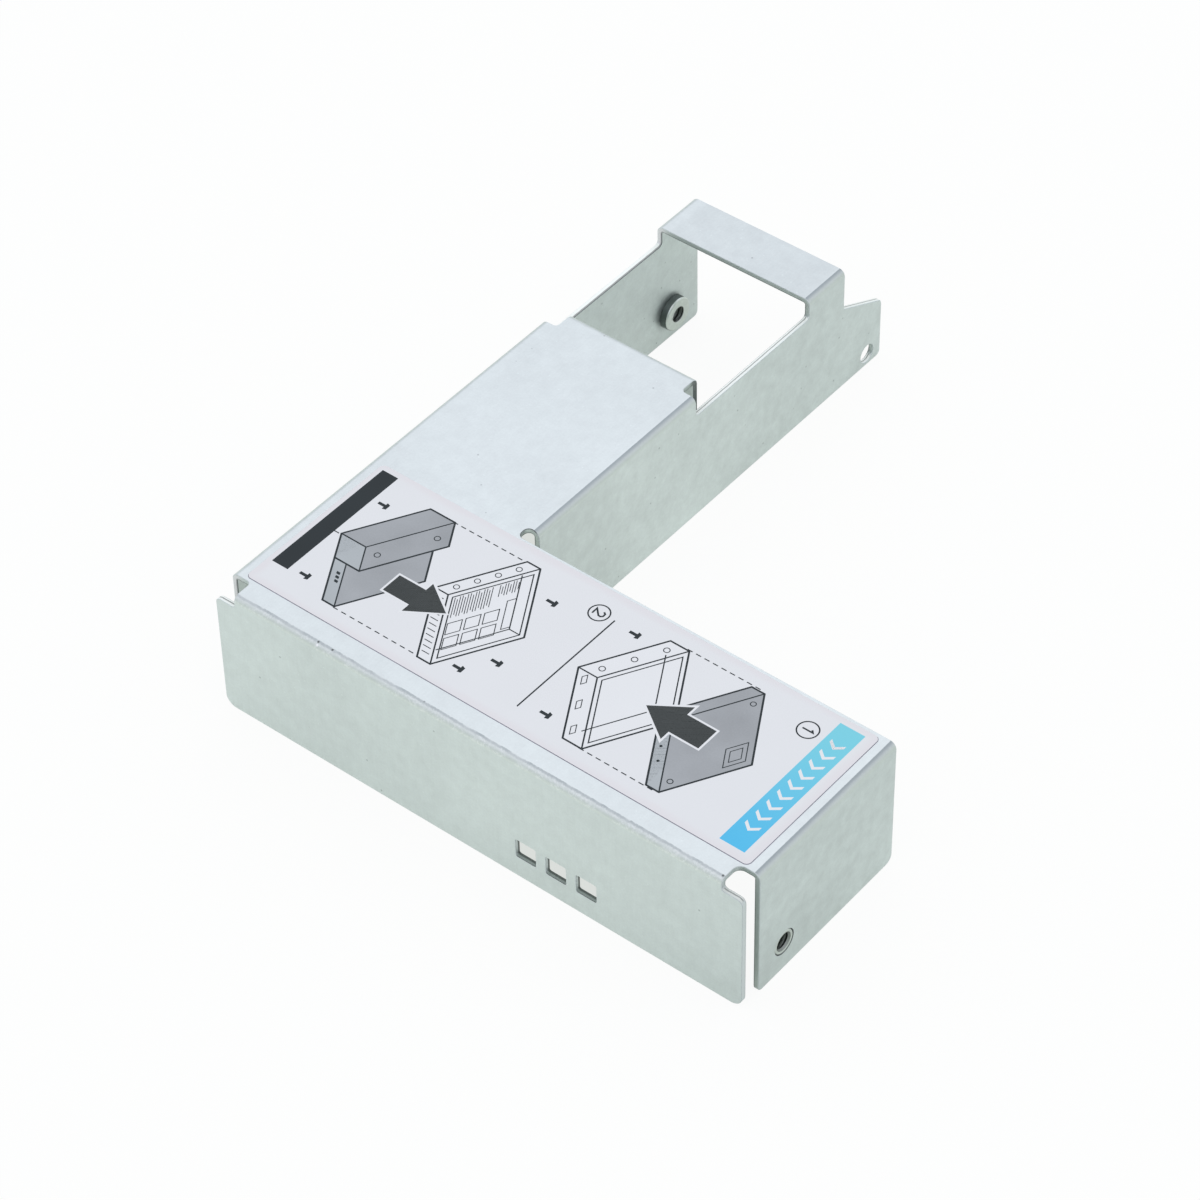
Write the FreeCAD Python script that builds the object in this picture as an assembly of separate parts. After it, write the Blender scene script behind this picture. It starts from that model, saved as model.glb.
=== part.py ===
import FreeCAD, Part

import math
import os

# Drive bay adapter bracket, in millimetres.
# One steel sheet is cut, and its edges are folded down, into an L: a foot across the whole bay and an
# arm along its left side. A small drive lies in the corner of the L and is screwed to the arm's inner
# wall, so that foot, arm and drive together are as large as the drive that the bay is made for.
# While it is built, zero is the corner on the floor under the left end of the front wall. x runs to the
# right across the bay, y to the back and z up.

# Sheet and folds
SHEET = 1.0
BEND_RADIUS = 0.3  # inside of every fold

# Outer sizes
WIDTH = 101.6  # outer face of the long wall to outer face of the end wall
HEIGHT = 25.4  # lower edges to the panel's upper face
SMALL_DRIVE_WIDTH = 69.85  # room between the inner wall and the right side of the bay
FOOT_DEPTH = 37.1  # front face to the panel's edge beside the small drive
ARM_PANEL_END = 79.1  # front face to the end of the arm's panel, beside the cross tab
TAIL_LENGTH = 10.8  # inner wall behind the bridge

# Notches that part the folds at the foot's two front corners
NOTCH_WIDTH = 3.9
NOTCH_DEPTH = 4.0
LEFT_NOTCH_RADIUS = 0.8
RIGHT_NOTCH_RADIUS = 1.3

# Slot that parts the foot from the inner wall's fold
SLOT_LENGTH = 2.4
SLOT_PAST_FOLD = 0.95  # how far the slot reaches into the flat panel
SLOT_RADIUS = 1.0

# Front wall: its ends stand free beside the notches, lower than the panel
END_DROP = 2.2
END_GAP = 0.1  # right end, short of the end wall's outer face
END_TOP_RADIUS = 1.1
END_STEP_RADIUS = 0.5
END_FOOT_RADIUS = 2.0

# Windows in the front wall, for the indicator lamps behind it
WINDOW_COUNT = 3
WINDOW_WIDTH = 3.8
WINDOW_HEIGHT = 3.6
WINDOW_PITCH = 5.8
FIRST_WINDOW = 59.0  # left edge of the first window
WINDOW_FLOOR = 4.3  # lower edges of the walls to a window's lower edge
WINDOW_RADIUS = 0.3

# Corners of the other walls
END_WALL_BACK_RADIUS = 1.5
END_WALL_FRONT_RADIUS = 0.4
WALL_CORNER_RADIUS = 1.0

# Opening in the arm between its panel and the bridge, cut down into both walls
BRIDGE_WIDTH = 9.8
RAIL_DROP = 3.8  # panel's upper face to the walls' upper edge in the opening
RAIL_RADIUS = 0.8

# Cross tab at the end of the arm's panel
TAB_MARGIN = 3.0  # walls' outer faces to the tab's sides
TAB_REACH = 4.1  # end of the arm's panel to the tab's outer face
TAB_LIFT = 2.5  # lower edges of the walls to the tab's end
TAB_RADIUS = 1.2

# Tail of the inner wall, with a slanting upper edge
TAIL_ROOT_HEIGHT = 17.1
TAIL_TIP_HEIGHT = 11.9
TAIL_ROOT_RADIUS = 0.5
TAIL_TIP_RADIUS = 1.4

# Screw holes for the small drive, in the inner wall
DRIVE_HOLE_RADIUS = 1.75
DRIVE_HOLE_HEIGHT = 2.4
DRIVE_HOLE_SPACING = 76.6
DRIVE_HOLE_FROM_TIP = 3.7  # back edge of the tail to the back hole's axis

# Arched notch in the long wall, through which a driver reaches the front screw
DRIVER_NOTCH_WIDTH = 18.4
DRIVER_NOTCH_HEIGHT = 11.4

# Self-clinching nuts
NUT_HEIGHT = 5.65  # lower edges of the walls to the nuts' axes
NUT_FROM_FRONT = 10.1
NUT_SPACING = 101.6
WALL_PAST_NUT = 7.4  # back nut's axis to the back edge of the long wall and of the bridge
NUT_SHANK_RADIUS = 2.35
NUT_FLANGE_RADIUS = 3.3
NUT_FLANGE_HEIGHT = 1.6
NUT_BORE_RADIUS = 1.385
NUT_LEAD_IN = 0.4
NUT_EDGE = 0.4

# Label on the foot
LABEL_LENGTH = 96.85
LABEL_DEPTH = 32.15
LABEL_THICKNESS = 0.1
LABEL_LEFT = 2.3
LABEL_FRONT = 4.45
LABEL_RADIUS = 1.0
LABEL_TURN = -0.15  # degrees: it was stuck on by hand

# Worked out from the sizes above
FOLD = BEND_RADIUS + SHEET
ARM_WIDTH = WIDTH - SMALL_DRIVE_WIDTH
WALL_LENGTH = NUT_FROM_FRONT + NUT_SPACING + WALL_PAST_NUT
LENGTH = WALL_LENGTH + TAIL_LENGTH
BRIDGE_FRONT = WALL_LENGTH - BRIDGE_WIDTH
TAB_FACE = ARM_PANEL_END + TAB_REACH
INNER_WALL_FRONT = FOOT_DEPTH + SLOT_LENGTH
BACK_DRIVE_HOLE = LENGTH - DRIVE_HOLE_FROM_TIP
FRONT_DRIVE_HOLE = BACK_DRIVE_HOLE - DRIVE_HOLE_SPACING
BOTTOM_CENTRE = FreeCAD.Vector(WIDTH / 2, LENGTH / 2, 0)

UP = FreeCAD.Vector(0, 0, 1)
PAST = 1.0  # how far a cutting shape runs past the sheet
SAME_POINT = 1e-6


class Side:
    """The outer face of a wall: a point on the floor, the way along the wall and the way inwards."""

    def __init__(self, corner, along, inwards):
        self.corner = FreeCAD.Vector(*corner)
        self.along = FreeCAD.Vector(*along)
        self.inwards = FreeCAD.Vector(*inwards)

    def point(self, run, depth, height):
        return self.corner + self.along * run + self.inwards * depth + UP * height


FRONT = Side((0, 0, 0), (1, 0, 0), (0, 1, 0))
LEFT = Side((0, 0, 0), (0, 1, 0), (1, 0, 0))
RIGHT = Side((WIDTH, 0, 0), (0, 1, 0), (-1, 0, 0))
INNER = Side((ARM_WIDTH, 0, 0), (0, 1, 0), (-1, 0, 0))
TAB = Side((0, TAB_FACE, 0), (1, 0, 0), (0, -1, 0))


def rounding(before, corner, after):
    """Start, middle and end of the arc that rounds one corner (u, v, radius) of an outline."""
    here = FreeCAD.Vector(corner[0], corner[1], 0)
    back = (FreeCAD.Vector(before[0], before[1], 0) - here).normalize()
    onward = (FreeCAD.Vector(after[0], after[1], 0) - here).normalize()
    half_angle = back.getAngle(onward) / 2
    reach = corner[2] / math.tan(half_angle)
    bulge = corner[2] / math.sin(half_angle) - corner[2]
    middle = here + (back + onward).normalize() * bulge
    return here + back * reach, middle, here + onward * reach


def outline_face(corners, place):
    """Face inside an outline of corners, (u, v) or (u, v, radius), put in space by place(u, v)."""
    stretches = []
    for number, corner in enumerate(corners):
        after = corners[(number + 1) % len(corners)]
        if len(corner) == 3:
            stretches.append(rounding(corners[number - 1], corner, after))
        else:
            stretches.append((FreeCAD.Vector(corner[0], corner[1], 0),))
    edges = []
    for number, stretch in enumerate(stretches):
        if len(stretch) == 3:
            edges.append(Part.Arc(*[place(p.x, p.y) for p in stretch]).toShape())
        start = stretch[-1]
        end = stretches[(number + 1) % len(stretches)][0]
        if (end - start).Length > SAME_POINT:
            edges.append(Part.LineSegment(place(start.x, start.y), place(end.x, end.y)).toShape())
    return Part.Face(Part.Wire(edges))


def plate(corners):
    """A flat piece of the panel, from its outline seen from above."""
    face = outline_face(corners, lambda x, y: FreeCAD.Vector(x, y, HEIGHT - SHEET))
    return face.extrude(UP * SHEET)


def fold_section(side, run):
    """Section of a wall and of the fold above it, at one place along its side."""
    fold_foot = HEIGHT - FOLD
    outside = FOLD * (1 - math.sqrt(0.5))
    inside = SHEET + BEND_RADIUS * (1 - math.sqrt(0.5))
    floor_out = side.point(run, 0, 0)
    floor_in = side.point(run, SHEET, 0)
    foot_out = side.point(run, 0, fold_foot)
    foot_in = side.point(run, SHEET, fold_foot)
    head_out = side.point(run, FOLD, HEIGHT)
    head_in = side.point(run, FOLD, HEIGHT - SHEET)
    edges = [
        Part.LineSegment(floor_out, foot_out).toShape(),
        Part.Arc(foot_out, side.point(run, outside, HEIGHT - outside), head_out).toShape(),
        Part.LineSegment(head_out, head_in).toShape(),
        Part.Arc(head_in, side.point(run, inside, HEIGHT - inside), foot_in).toShape(),
        Part.LineSegment(foot_in, floor_in).toShape(),
        Part.LineSegment(floor_in, floor_out).toShape(),
    ]
    return Part.Face(Part.Wire(edges))


def folded_wall(side, corners):
    """A wall with its fold, from the wall's outline (run, height). Where the outline passes over the
    panel's height, the wall is folded from the panel, and elsewhere its edge is free."""
    runs = [corner[0] for corner in corners]
    strip = fold_section(side, min(runs)).extrude(side.along * (max(runs) - min(runs)))
    outline = outline_face(corners, lambda run, height: side.point(run, -PAST, height))
    return strip.common(outline.extrude(side.inwards * (FOLD + 2 * PAST)))


def wall_hole(side, run, height, radius):
    """Cutter for a round hole through a wall."""
    return Part.makeCylinder(radius, SHEET + 2 * PAST, side.point(run, -PAST, height), side.inwards)


def top_panel():
    """The L-shaped panel between its folds, with the notches, the slot and the cross tab's root."""
    slot_end = ARM_WIDTH - FOLD - SLOT_PAST_FOLD
    return plate(
        [
            (NOTCH_WIDTH, FOLD),
            (WIDTH - NOTCH_WIDTH, FOLD),
            (WIDTH - NOTCH_WIDTH, NOTCH_DEPTH, RIGHT_NOTCH_RADIUS),
            (WIDTH - FOLD, NOTCH_DEPTH),
            (WIDTH - FOLD, FOOT_DEPTH),
            (slot_end, FOOT_DEPTH, SLOT_RADIUS),
            (slot_end, INNER_WALL_FRONT, SLOT_PAST_FOLD),
            (ARM_WIDTH - FOLD, INNER_WALL_FRONT),
            (ARM_WIDTH - FOLD, ARM_PANEL_END),
            (ARM_WIDTH - TAB_MARGIN, ARM_PANEL_END),
            (ARM_WIDTH - TAB_MARGIN, TAB_FACE - FOLD),
            (TAB_MARGIN, TAB_FACE - FOLD),
            (TAB_MARGIN, ARM_PANEL_END),
            (FOLD, ARM_PANEL_END),
            (FOLD, NOTCH_DEPTH),
            (NOTCH_WIDTH, NOTCH_DEPTH, LEFT_NOTCH_RADIUS),
        ]
    )


def bridge_panel():
    """The strip that joins the two walls at the arm's end."""
    return plate(
        [
            (FOLD, BRIDGE_FRONT),
            (ARM_WIDTH - FOLD, BRIDGE_FRONT),
            (ARM_WIDTH - FOLD, WALL_LENGTH),
            (FOLD, WALL_LENGTH),
        ]
    )


def front_wall():
    """The front wall, with its two free ends and its windows."""
    over = HEIGHT + PAST
    end_top = HEIGHT - END_DROP
    right_end = WIDTH - END_GAP
    wall = folded_wall(
        FRONT,
        [
            (0, 0, END_FOOT_RADIUS),
            (0, end_top, END_TOP_RADIUS),
            (NOTCH_WIDTH, end_top, END_STEP_RADIUS),
            (NOTCH_WIDTH, over),
            (WIDTH - NOTCH_WIDTH, over),
            (WIDTH - NOTCH_WIDTH, end_top, END_STEP_RADIUS),
            (right_end, end_top, END_TOP_RADIUS),
            (right_end, 0, END_FOOT_RADIUS),
        ],
    )
    for number in range(WINDOW_COUNT):
        wall = wall.cut(window_cutter(FIRST_WINDOW + number * WINDOW_PITCH))
    return wall


def window_cutter(left):
    """Cutter for one window, from its left edge."""
    right = left + WINDOW_WIDTH
    top = WINDOW_FLOOR + WINDOW_HEIGHT
    face = outline_face(
        [
            (left, WINDOW_FLOOR, WINDOW_RADIUS),
            (right, WINDOW_FLOOR, WINDOW_RADIUS),
            (right, top, WINDOW_RADIUS),
            (left, top, WINDOW_RADIUS),
        ],
        lambda run, height: FRONT.point(run, -PAST, height),
    )
    return face.extrude(FRONT.inwards * (SHEET + 2 * PAST))


def end_wall():
    """The short wall at the foot's right end."""
    over = HEIGHT + PAST
    return folded_wall(
        RIGHT,
        [
            (NOTCH_DEPTH, 0, END_WALL_FRONT_RADIUS),
            (NOTCH_DEPTH, over),
            (FOOT_DEPTH, over),
            (FOOT_DEPTH, 0, END_WALL_BACK_RADIUS),
        ],
    )


def long_wall():
    """The left wall, as long as foot and arm, with the opening's lower edge and the driver notch."""
    over = HEIGHT + PAST
    rail = HEIGHT - RAIL_DROP
    arch_radius = DRIVER_NOTCH_WIDTH / 2
    notch_front = FRONT_DRIVE_HOLE - arch_radius
    notch_back = FRONT_DRIVE_HOLE + arch_radius
    return folded_wall(
        LEFT,
        [
            (NOTCH_DEPTH, 0),
            (NOTCH_DEPTH, over),
            (ARM_PANEL_END, over),
            (ARM_PANEL_END, rail, RAIL_RADIUS),
            (BRIDGE_FRONT, rail, RAIL_RADIUS),
            (BRIDGE_FRONT, over),
            (WALL_LENGTH, over),
            (WALL_LENGTH, 0, WALL_CORNER_RADIUS),
            (notch_back, 0),
            (notch_back, DRIVER_NOTCH_HEIGHT, arch_radius),
            (notch_front, DRIVER_NOTCH_HEIGHT, arch_radius),
            (notch_front, 0),
        ],
    )


def inner_wall():
    """The arm's right wall, which the small drive is screwed to, with its tail behind the bridge."""
    over = HEIGHT + PAST
    rail = HEIGHT - RAIL_DROP
    return folded_wall(
        INNER,
        [
            (INNER_WALL_FRONT, 0, WALL_CORNER_RADIUS),
            (INNER_WALL_FRONT, over),
            (ARM_PANEL_END, over),
            (ARM_PANEL_END, rail, RAIL_RADIUS),
            (BRIDGE_FRONT, rail, RAIL_RADIUS),
            (BRIDGE_FRONT, over),
            (WALL_LENGTH, over),
            (WALL_LENGTH, TAIL_ROOT_HEIGHT, TAIL_ROOT_RADIUS),
            (LENGTH, TAIL_TIP_HEIGHT, TAIL_TIP_RADIUS),
            (LENGTH, 0, WALL_CORNER_RADIUS),
        ],
    )


def cross_tab():
    """The tab folded down across the arm, between the walls."""
    over = HEIGHT + PAST
    return folded_wall(
        TAB,
        [
            (TAB_MARGIN, over),
            (ARM_WIDTH - TAB_MARGIN, over),
            (ARM_WIDTH - TAB_MARGIN, TAB_LIFT, TAB_RADIUS),
            (TAB_MARGIN, TAB_LIFT, TAB_RADIUS),
        ],
    )


def folded_sheet(nut_places):
    """The bracket: panel, bridge and walls as one sheet, with the holes for nuts and screws."""
    walls = [front_wall(), end_wall(), long_wall(), inner_wall(), cross_tab()]
    sheet = top_panel().multiFuse([bridge_panel()] + walls)
    holes = [wall_hole(side, run, NUT_HEIGHT, NUT_SHANK_RADIUS) for side, run in nut_places]
    for run in (FRONT_DRIVE_HOLE, BACK_DRIVE_HOLE):
        holes.append(wall_hole(INNER, run, DRIVE_HOLE_HEIGHT, DRIVE_HOLE_RADIUS))
    for hole in holes:
        sheet = sheet.cut(hole)
    return sheet.removeSplitter()


def clinch_nut(side, run):
    """A nut pressed into a wall from inside: its shank fills the hole, flush with the outer face."""
    end = SHEET + NUT_FLANGE_HEIGHT
    mouth = NUT_BORE_RADIUS + NUT_LEAD_IN
    profile = [
        (0, mouth),
        (0, NUT_SHANK_RADIUS),
        (SHEET, NUT_SHANK_RADIUS),
        (SHEET, NUT_FLANGE_RADIUS),
        (end - NUT_EDGE, NUT_FLANGE_RADIUS),
        (end, NUT_FLANGE_RADIUS - NUT_EDGE),
        (end, mouth),
        (end - NUT_LEAD_IN, NUT_BORE_RADIUS),
        (NUT_LEAD_IN, NUT_BORE_RADIUS),
    ]
    half = outline_face(profile, lambda depth, radius: side.point(run, depth, NUT_HEIGHT + radius))
    return half.revolve(side.point(run, 0, NUT_HEIGHT), side.inwards, 360)


def instruction_label():
    """The label stuck on the foot, a little askew."""
    right = LABEL_LEFT + LABEL_LENGTH
    back = LABEL_FRONT + LABEL_DEPTH
    face = outline_face(
        [
            (LABEL_LEFT, LABEL_FRONT, LABEL_RADIUS),
            (right, LABEL_FRONT, LABEL_RADIUS),
            (right, back, LABEL_RADIUS),
            (LABEL_LEFT, back, LABEL_RADIUS),
        ],
        lambda x, y: FreeCAD.Vector(x, y, HEIGHT),
    )
    label = face.extrude(UP * LABEL_THICKNESS)
    centre = FreeCAD.Vector((LABEL_LEFT + right) / 2, (LABEL_FRONT + back) / 2, HEIGHT)
    label.rotate(centre, UP, LABEL_TURN)
    return label


NUTS = {
    "nut_left_front": (LEFT, NUT_FROM_FRONT),
    "nut_left_back": (LEFT, NUT_FROM_FRONT + NUT_SPACING),
    "nut_right_front": (RIGHT, NUT_FROM_FRONT),
}

shapes = {"bracket": folded_sheet(NUTS.values())}
for name, (side, run) in NUTS.items():
    shapes[name] = clinch_nut(side, run)
shapes["instruction_label"] = instruction_label()

os.makedirs("parts", exist_ok=True)
for name, shape in shapes.items():
    shape.translate(BOTTOM_CENTRE * -1)
    shape.exportStep(f"parts/{name}.step")
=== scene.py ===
"""Looks for the drive bay adapter bracket: the folded zinc-coated sheet, its nuts and the printed label.

Places are given in millimetres from the floor corner under the left end of the front wall: x to the
right across the bay, y to the back, z up. world() turns them into the frame's metres.
"""

import math
from collections import Counter
from types import SimpleNamespace

import bmesh
import bpy
from bpy.props import FloatProperty, FloatVectorProperty
from mathutils import Matrix, Vector

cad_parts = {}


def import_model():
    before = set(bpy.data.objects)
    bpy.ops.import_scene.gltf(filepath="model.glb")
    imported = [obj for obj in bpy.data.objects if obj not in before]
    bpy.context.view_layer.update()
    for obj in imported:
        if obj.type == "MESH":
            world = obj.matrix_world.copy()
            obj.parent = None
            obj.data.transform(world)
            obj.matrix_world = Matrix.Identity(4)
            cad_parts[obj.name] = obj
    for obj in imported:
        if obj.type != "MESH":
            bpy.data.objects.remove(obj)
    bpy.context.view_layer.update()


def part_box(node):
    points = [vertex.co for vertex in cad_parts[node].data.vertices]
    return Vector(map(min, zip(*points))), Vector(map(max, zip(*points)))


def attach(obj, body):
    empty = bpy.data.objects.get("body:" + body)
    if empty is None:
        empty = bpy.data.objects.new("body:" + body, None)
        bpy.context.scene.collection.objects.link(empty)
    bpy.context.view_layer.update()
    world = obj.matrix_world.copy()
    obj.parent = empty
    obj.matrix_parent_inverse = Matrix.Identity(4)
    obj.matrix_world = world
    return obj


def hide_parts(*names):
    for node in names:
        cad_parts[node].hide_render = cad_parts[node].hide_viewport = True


bl_info = {
    "name": "Drive bay adapter bracket",
    "version": (1, 0, 0),
    "blender": (4, 5, 0),
    "location": "View3D > Sidebar > Bay bracket",
    "description": "Folded sheet, clinched nuts and printed label around the packed frame",
    "category": "Object",
}

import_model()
FRONT_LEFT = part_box("bracket")[0]
MM = 0.001

# Distance in millimetres under which two places count as one
CLOSE = 1e-4

# Distance in millimetres from a point within which a cut goes through the point
SNAP = 0.02

# Part of a face's unit normal along one axis above which the face belongs to a flat
FLAT = 0.99995

# Places of single marks on the sheet, and the middle of a painted shadow round the back nut
FOLD_PITS = ((20.5, 0.85, 25.3), (23.3, 0.85, 25.3), (97.3, 0.9, 25.3))
FOLD_GLINT = (20.6, 0.4, 25.0)
NUT_SHADOW_SPOT = (1.0, 111.2, 6.0)

# Finishes of the faces of the sheet, a nut and the label, in the order of each mesh's materials
SKIN, RIM, CUT = range(3)
PLATED, SIDE, THREAD, CREST, LEAD_IN = range(5)
FILM, EDGE_SHADE = range(2)

# Windows in the front wall, and straight sides that make up each round hole and each turned nut
WINDOWS = 3
NUT_HOLE_SIDES = 56
DRIVE_HOLE_SIDES = 48
NUT_SIDES = 64

# Radii of the blank's corners, in millimetres
FRONT_FOOT_CORNER = 2.0
FRONT_TOP_CORNER = 1.1
END_WALL_CORNER = 1.5
RIGHT_NOTCH_CORNER = 1.3
TAIL_CORNER = 1.4
TAB_CORNER = 1.2
WALL_CORNER = 1.0
SOFT_CORNER = 0.8
SMALL_CORNER = 0.5
WINDOW_CORNER = 0.3
HIDDEN_CORNER = 0.3


def world(x, y, z):
    """A place in millimetres as a point in the frame, in metres."""
    return Vector((x, y, z)) * MM + FRONT_LEFT


def length(name, description, millimetres):
    """A property that holds a length, stored in metres."""
    return FloatProperty(
        name=name, description=description, default=millimetres * MM, min=0, precision=5, unit="LENGTH"
    )


def angle(name, description, degrees):
    """A property that holds an angle, stored in radians."""
    return FloatProperty(
        name=name, description=description, default=math.radians(degrees), precision=5, subtype="ANGLE"
    )


def colour(name, description, value):
    """A property that holds a colour."""
    return FloatVectorProperty(
        name=name, description=description, default=value, min=0, max=1, size=3, subtype="COLOR"
    )


def sizes_in_mm(group):
    """A group's lengths in millimetres, under the same names."""
    values = ((name, getattr(group, name)) for name in group.__annotations__)
    return SimpleNamespace(**{name: value / MM for name, value in values if isinstance(value, float)})


def nut_spots(s):
    """The nuts' middles on the walls' outer faces: left front, left back and right front."""
    places = ((0.0, s.nut_front), (0.0, s.nut_back), (s.width, s.nut_front))
    return [(x, y, s.nut_height) for x, y in places]


# Nodes and shader maths


def new_node(tree, kind, settings, inputs):
    """Adds a node to a tree: its settings first, then the values or links of its sockets."""
    node = tree.nodes.new(kind)
    for name, value in (settings or {}).items():
        if name == "stops":
            set_stops(node.color_ramp, value)
        else:
            setattr(node, name, value)
    for name, value in (inputs or {}).items():
        source = value.socket if isinstance(value, Number) else value
        if isinstance(source, bpy.types.NodeSocket):
            tree.links.new(source, node.inputs[name])
        else:
            node.inputs[name].default_value = value
    return node


def set_stops(ramp, stops):
    """Puts (position, colour) stops on a colour ramp."""
    while len(ramp.elements) > 1:
        ramp.elements.remove(ramp.elements[-1])
    ramp.elements[0].position, ramp.elements[0].color = stops[0]
    for position, value in stops[1:]:
        ramp.elements.new(position).color = value


class Number:
    """A socket that carries a number. Arithmetic on it adds Math nodes."""

    def __init__(self, finish, socket):
        self.finish = finish
        self.socket = socket

    def _math(self, operation, first, second=0.0):
        return self.finish.add("ShaderNodeMath", {"operation": operation}, {0: first, 1: second})

    def __add__(self, other):
        return self._math("ADD", self, other)

    def __radd__(self, other):
        return self._math("ADD", other, self)

    def __sub__(self, other):
        return self._math("SUBTRACT", self, other)

    def __rsub__(self, other):
        return self._math("SUBTRACT", other, self)

    def __mul__(self, other):
        return self._math("MULTIPLY", self, other)

    def __rmul__(self, other):
        return self._math("MULTIPLY", other, self)

    def __lt__(self, other):
        return self._math("LESS_THAN", self, other)

    def __abs__(self):
        return self._math("ABSOLUTE", self)

    def maximum(self, other):
        return self._math("MAXIMUM", self, other)


class Finish:
    """A material, or the world, under construction, with one method for every kind of node."""

    def __init__(self, name, kind="materials"):
        self.material = getattr(bpy.data, kind).new(name)
        self.material.use_nodes = True
        self.tree = self.material.node_tree
        self.tree.nodes.clear()

    def add(self, kind, settings=None, inputs=None, output=0):
        """Adds a node and gives one of its outputs, if it has any."""
        node = new_node(self.tree, kind, settings, inputs)
        return Number(self, node.outputs[output]) if node.outputs else None

    def place(self, per_mm=1.0, stretch=(1, 1, 1)):
        """Object coordinates, in units of 1 / per_mm millimetres, stretched along the axes."""
        where = self.add("ShaderNodeTexCoord", output="Object")
        scale = [per_mm / MM / s for s in stretch]
        return self.add("ShaderNodeVectorMath", {"operation": "MULTIPLY"}, {0: where, 1: scale})

    def attribute(self, name):
        return self.add("ShaderNodeAttribute", {"attribute_name": name}, output="Fac")

    def along(self, axis):
        """One coordinate of the object, in millimetres."""
        return self.add("ShaderNodeSeparateXYZ", {}, {0: self.place()}, output=axis)

    def past(self, axis, low, high):
        """0 to 1 as a coordinate goes from low to high, in millimetres from the front left corner."""
        start = FRONT_LEFT["XYZ".index(axis)] / MM
        return self.ramp(self.along(axis), start + low, start + high)

    def before(self, axis, low, high):
        """1 to 0 as a coordinate goes from low to high."""
        return 1 - self.past(axis, low, high)

    def band(self, axis, start, full, fades, end):
        """1 from full to fades along an axis, falling to 0 at start and at end."""
        return self.past(axis, start, full) * self.before(axis, fades, end)

    def noise(self, per_mm, detail=2.0, rough=0.5, stretch=(1, 1, 1)):
        """Noise from 0 to 1 with per_mm features in a millimetre."""
        return self.add(
            "ShaderNodeTexNoise",
            {},
            {"Vector": self.place(per_mm, stretch), "Scale": 1.0, "Detail": detail, "Roughness": rough},
        )

    def ramp(self, value, low, high):
        """value from low to high, smoothly, as 0 to 1."""
        return self.add(
            "ShaderNodeMapRange",
            {"interpolation_type": "SMOOTHSTEP"},
            {"Value": value, "From Min": low, "From Max": high},
        )

    def hump(self, value, start, full, fades, end):
        """0 to 1 as value goes from start to full, and back to 0 as it goes from fades to end."""
        return self.ramp(value, start, full) * (1 - self.ramp(value, fades, end))

    def mix(self, share, first, second):
        """Colours first and second, mixed by share."""
        settings = {"data_type": "RGBA", "clamp_factor": True}
        inputs = {0: share, 6: opaque(first), 7: opaque(second)}
        return self.add("ShaderNodeMix", settings, inputs, output=2)

    def shades(self, share, value, low, high):
        """From low times a colour to high times the colour, by share."""
        return self.mix(share, scaled(value, low), scaled(value, high))

    def specks(self, per_mm, radius, share):
        """Round specks, about per_mm in a millimetre each way, where a random share of cells has one."""
        settings = {"feature": "F1"}
        inputs = {"Vector": self.place(per_mm), "Scale": 1.0, "Randomness": 1.0}
        distance = self.add("ShaderNodeTexVoronoi", settings, inputs, output="Distance")
        cell = self.add("ShaderNodeTexVoronoi", settings, inputs, output="Color")
        chosen = self.add("ShaderNodeSeparateColor", {}, {0: cell}) < share
        return chosen * (1 - self.ramp(distance, radius * 0.5, radius))

    def round_mark(self, spot, inner, outer):
        """1 out to the inner radius round a spot, in millimetres, falling to 0 at the outer radius."""
        ends = {0: self.place(), 1: world(*spot) / MM}
        gap = self.add("ShaderNodeVectorMath", {"operation": "DISTANCE"}, ends, output="Value")
        return 1 - self.ramp(gap, inner, outer)

    def leaning(self, axis, low=0.45, high=0.9):
        """0 to 1 as the surface's normal goes from low to high along an axis."""
        normal = self.add("ShaderNodeNewGeometry", output="Normal")
        return self.ramp(self.add("ShaderNodeSeparateXYZ", {}, {0: normal}, output=axis), low, high)

    def bump(self, height, depth_mm, strength):
        """The normal of a surface that rises by depth_mm millimetres where height goes from 0 to 1."""
        inputs = {"Strength": strength, "Distance": depth_mm * MM, "Height": height}
        return self.add("ShaderNodeBump", {}, inputs)

    def seen_directly(self):
        """1 for what the camera sees itself or through glass, 0 for light and for reflections."""
        return self.ray("Camera") + self.ray("Transmission")

    def ray(self, kind):
        return self.add("ShaderNodeLightPath", output=f"Is {kind} Ray")

    def surface(self, **sockets):
        """The Principled shader, joined to the output."""
        inputs = {name.replace("_", " "): value for name, value in sockets.items()}
        shader = self.add("ShaderNodeBsdfPrincipled", {}, inputs)
        self.add("ShaderNodeOutputMaterial", {}, {"Surface": shader})
        return self.material


def opaque(value):
    return value if isinstance(value, Number) else (*value, 1.0)


def scaled(value, *factors):
    """A colour times one factor, or times one factor for each channel, up to full white."""
    if len(factors) == 1:
        factors *= 3
    return tuple(min(1.0, channel * factor) for channel, factor in zip(value, factors))


def uneven(middle, *parts):
    """A number made uneven by noises, each given as (noise, weight)."""
    return sum(((noise - 0.5) * weight for noise, weight in parts), middle)


# The sheet's finishes


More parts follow.
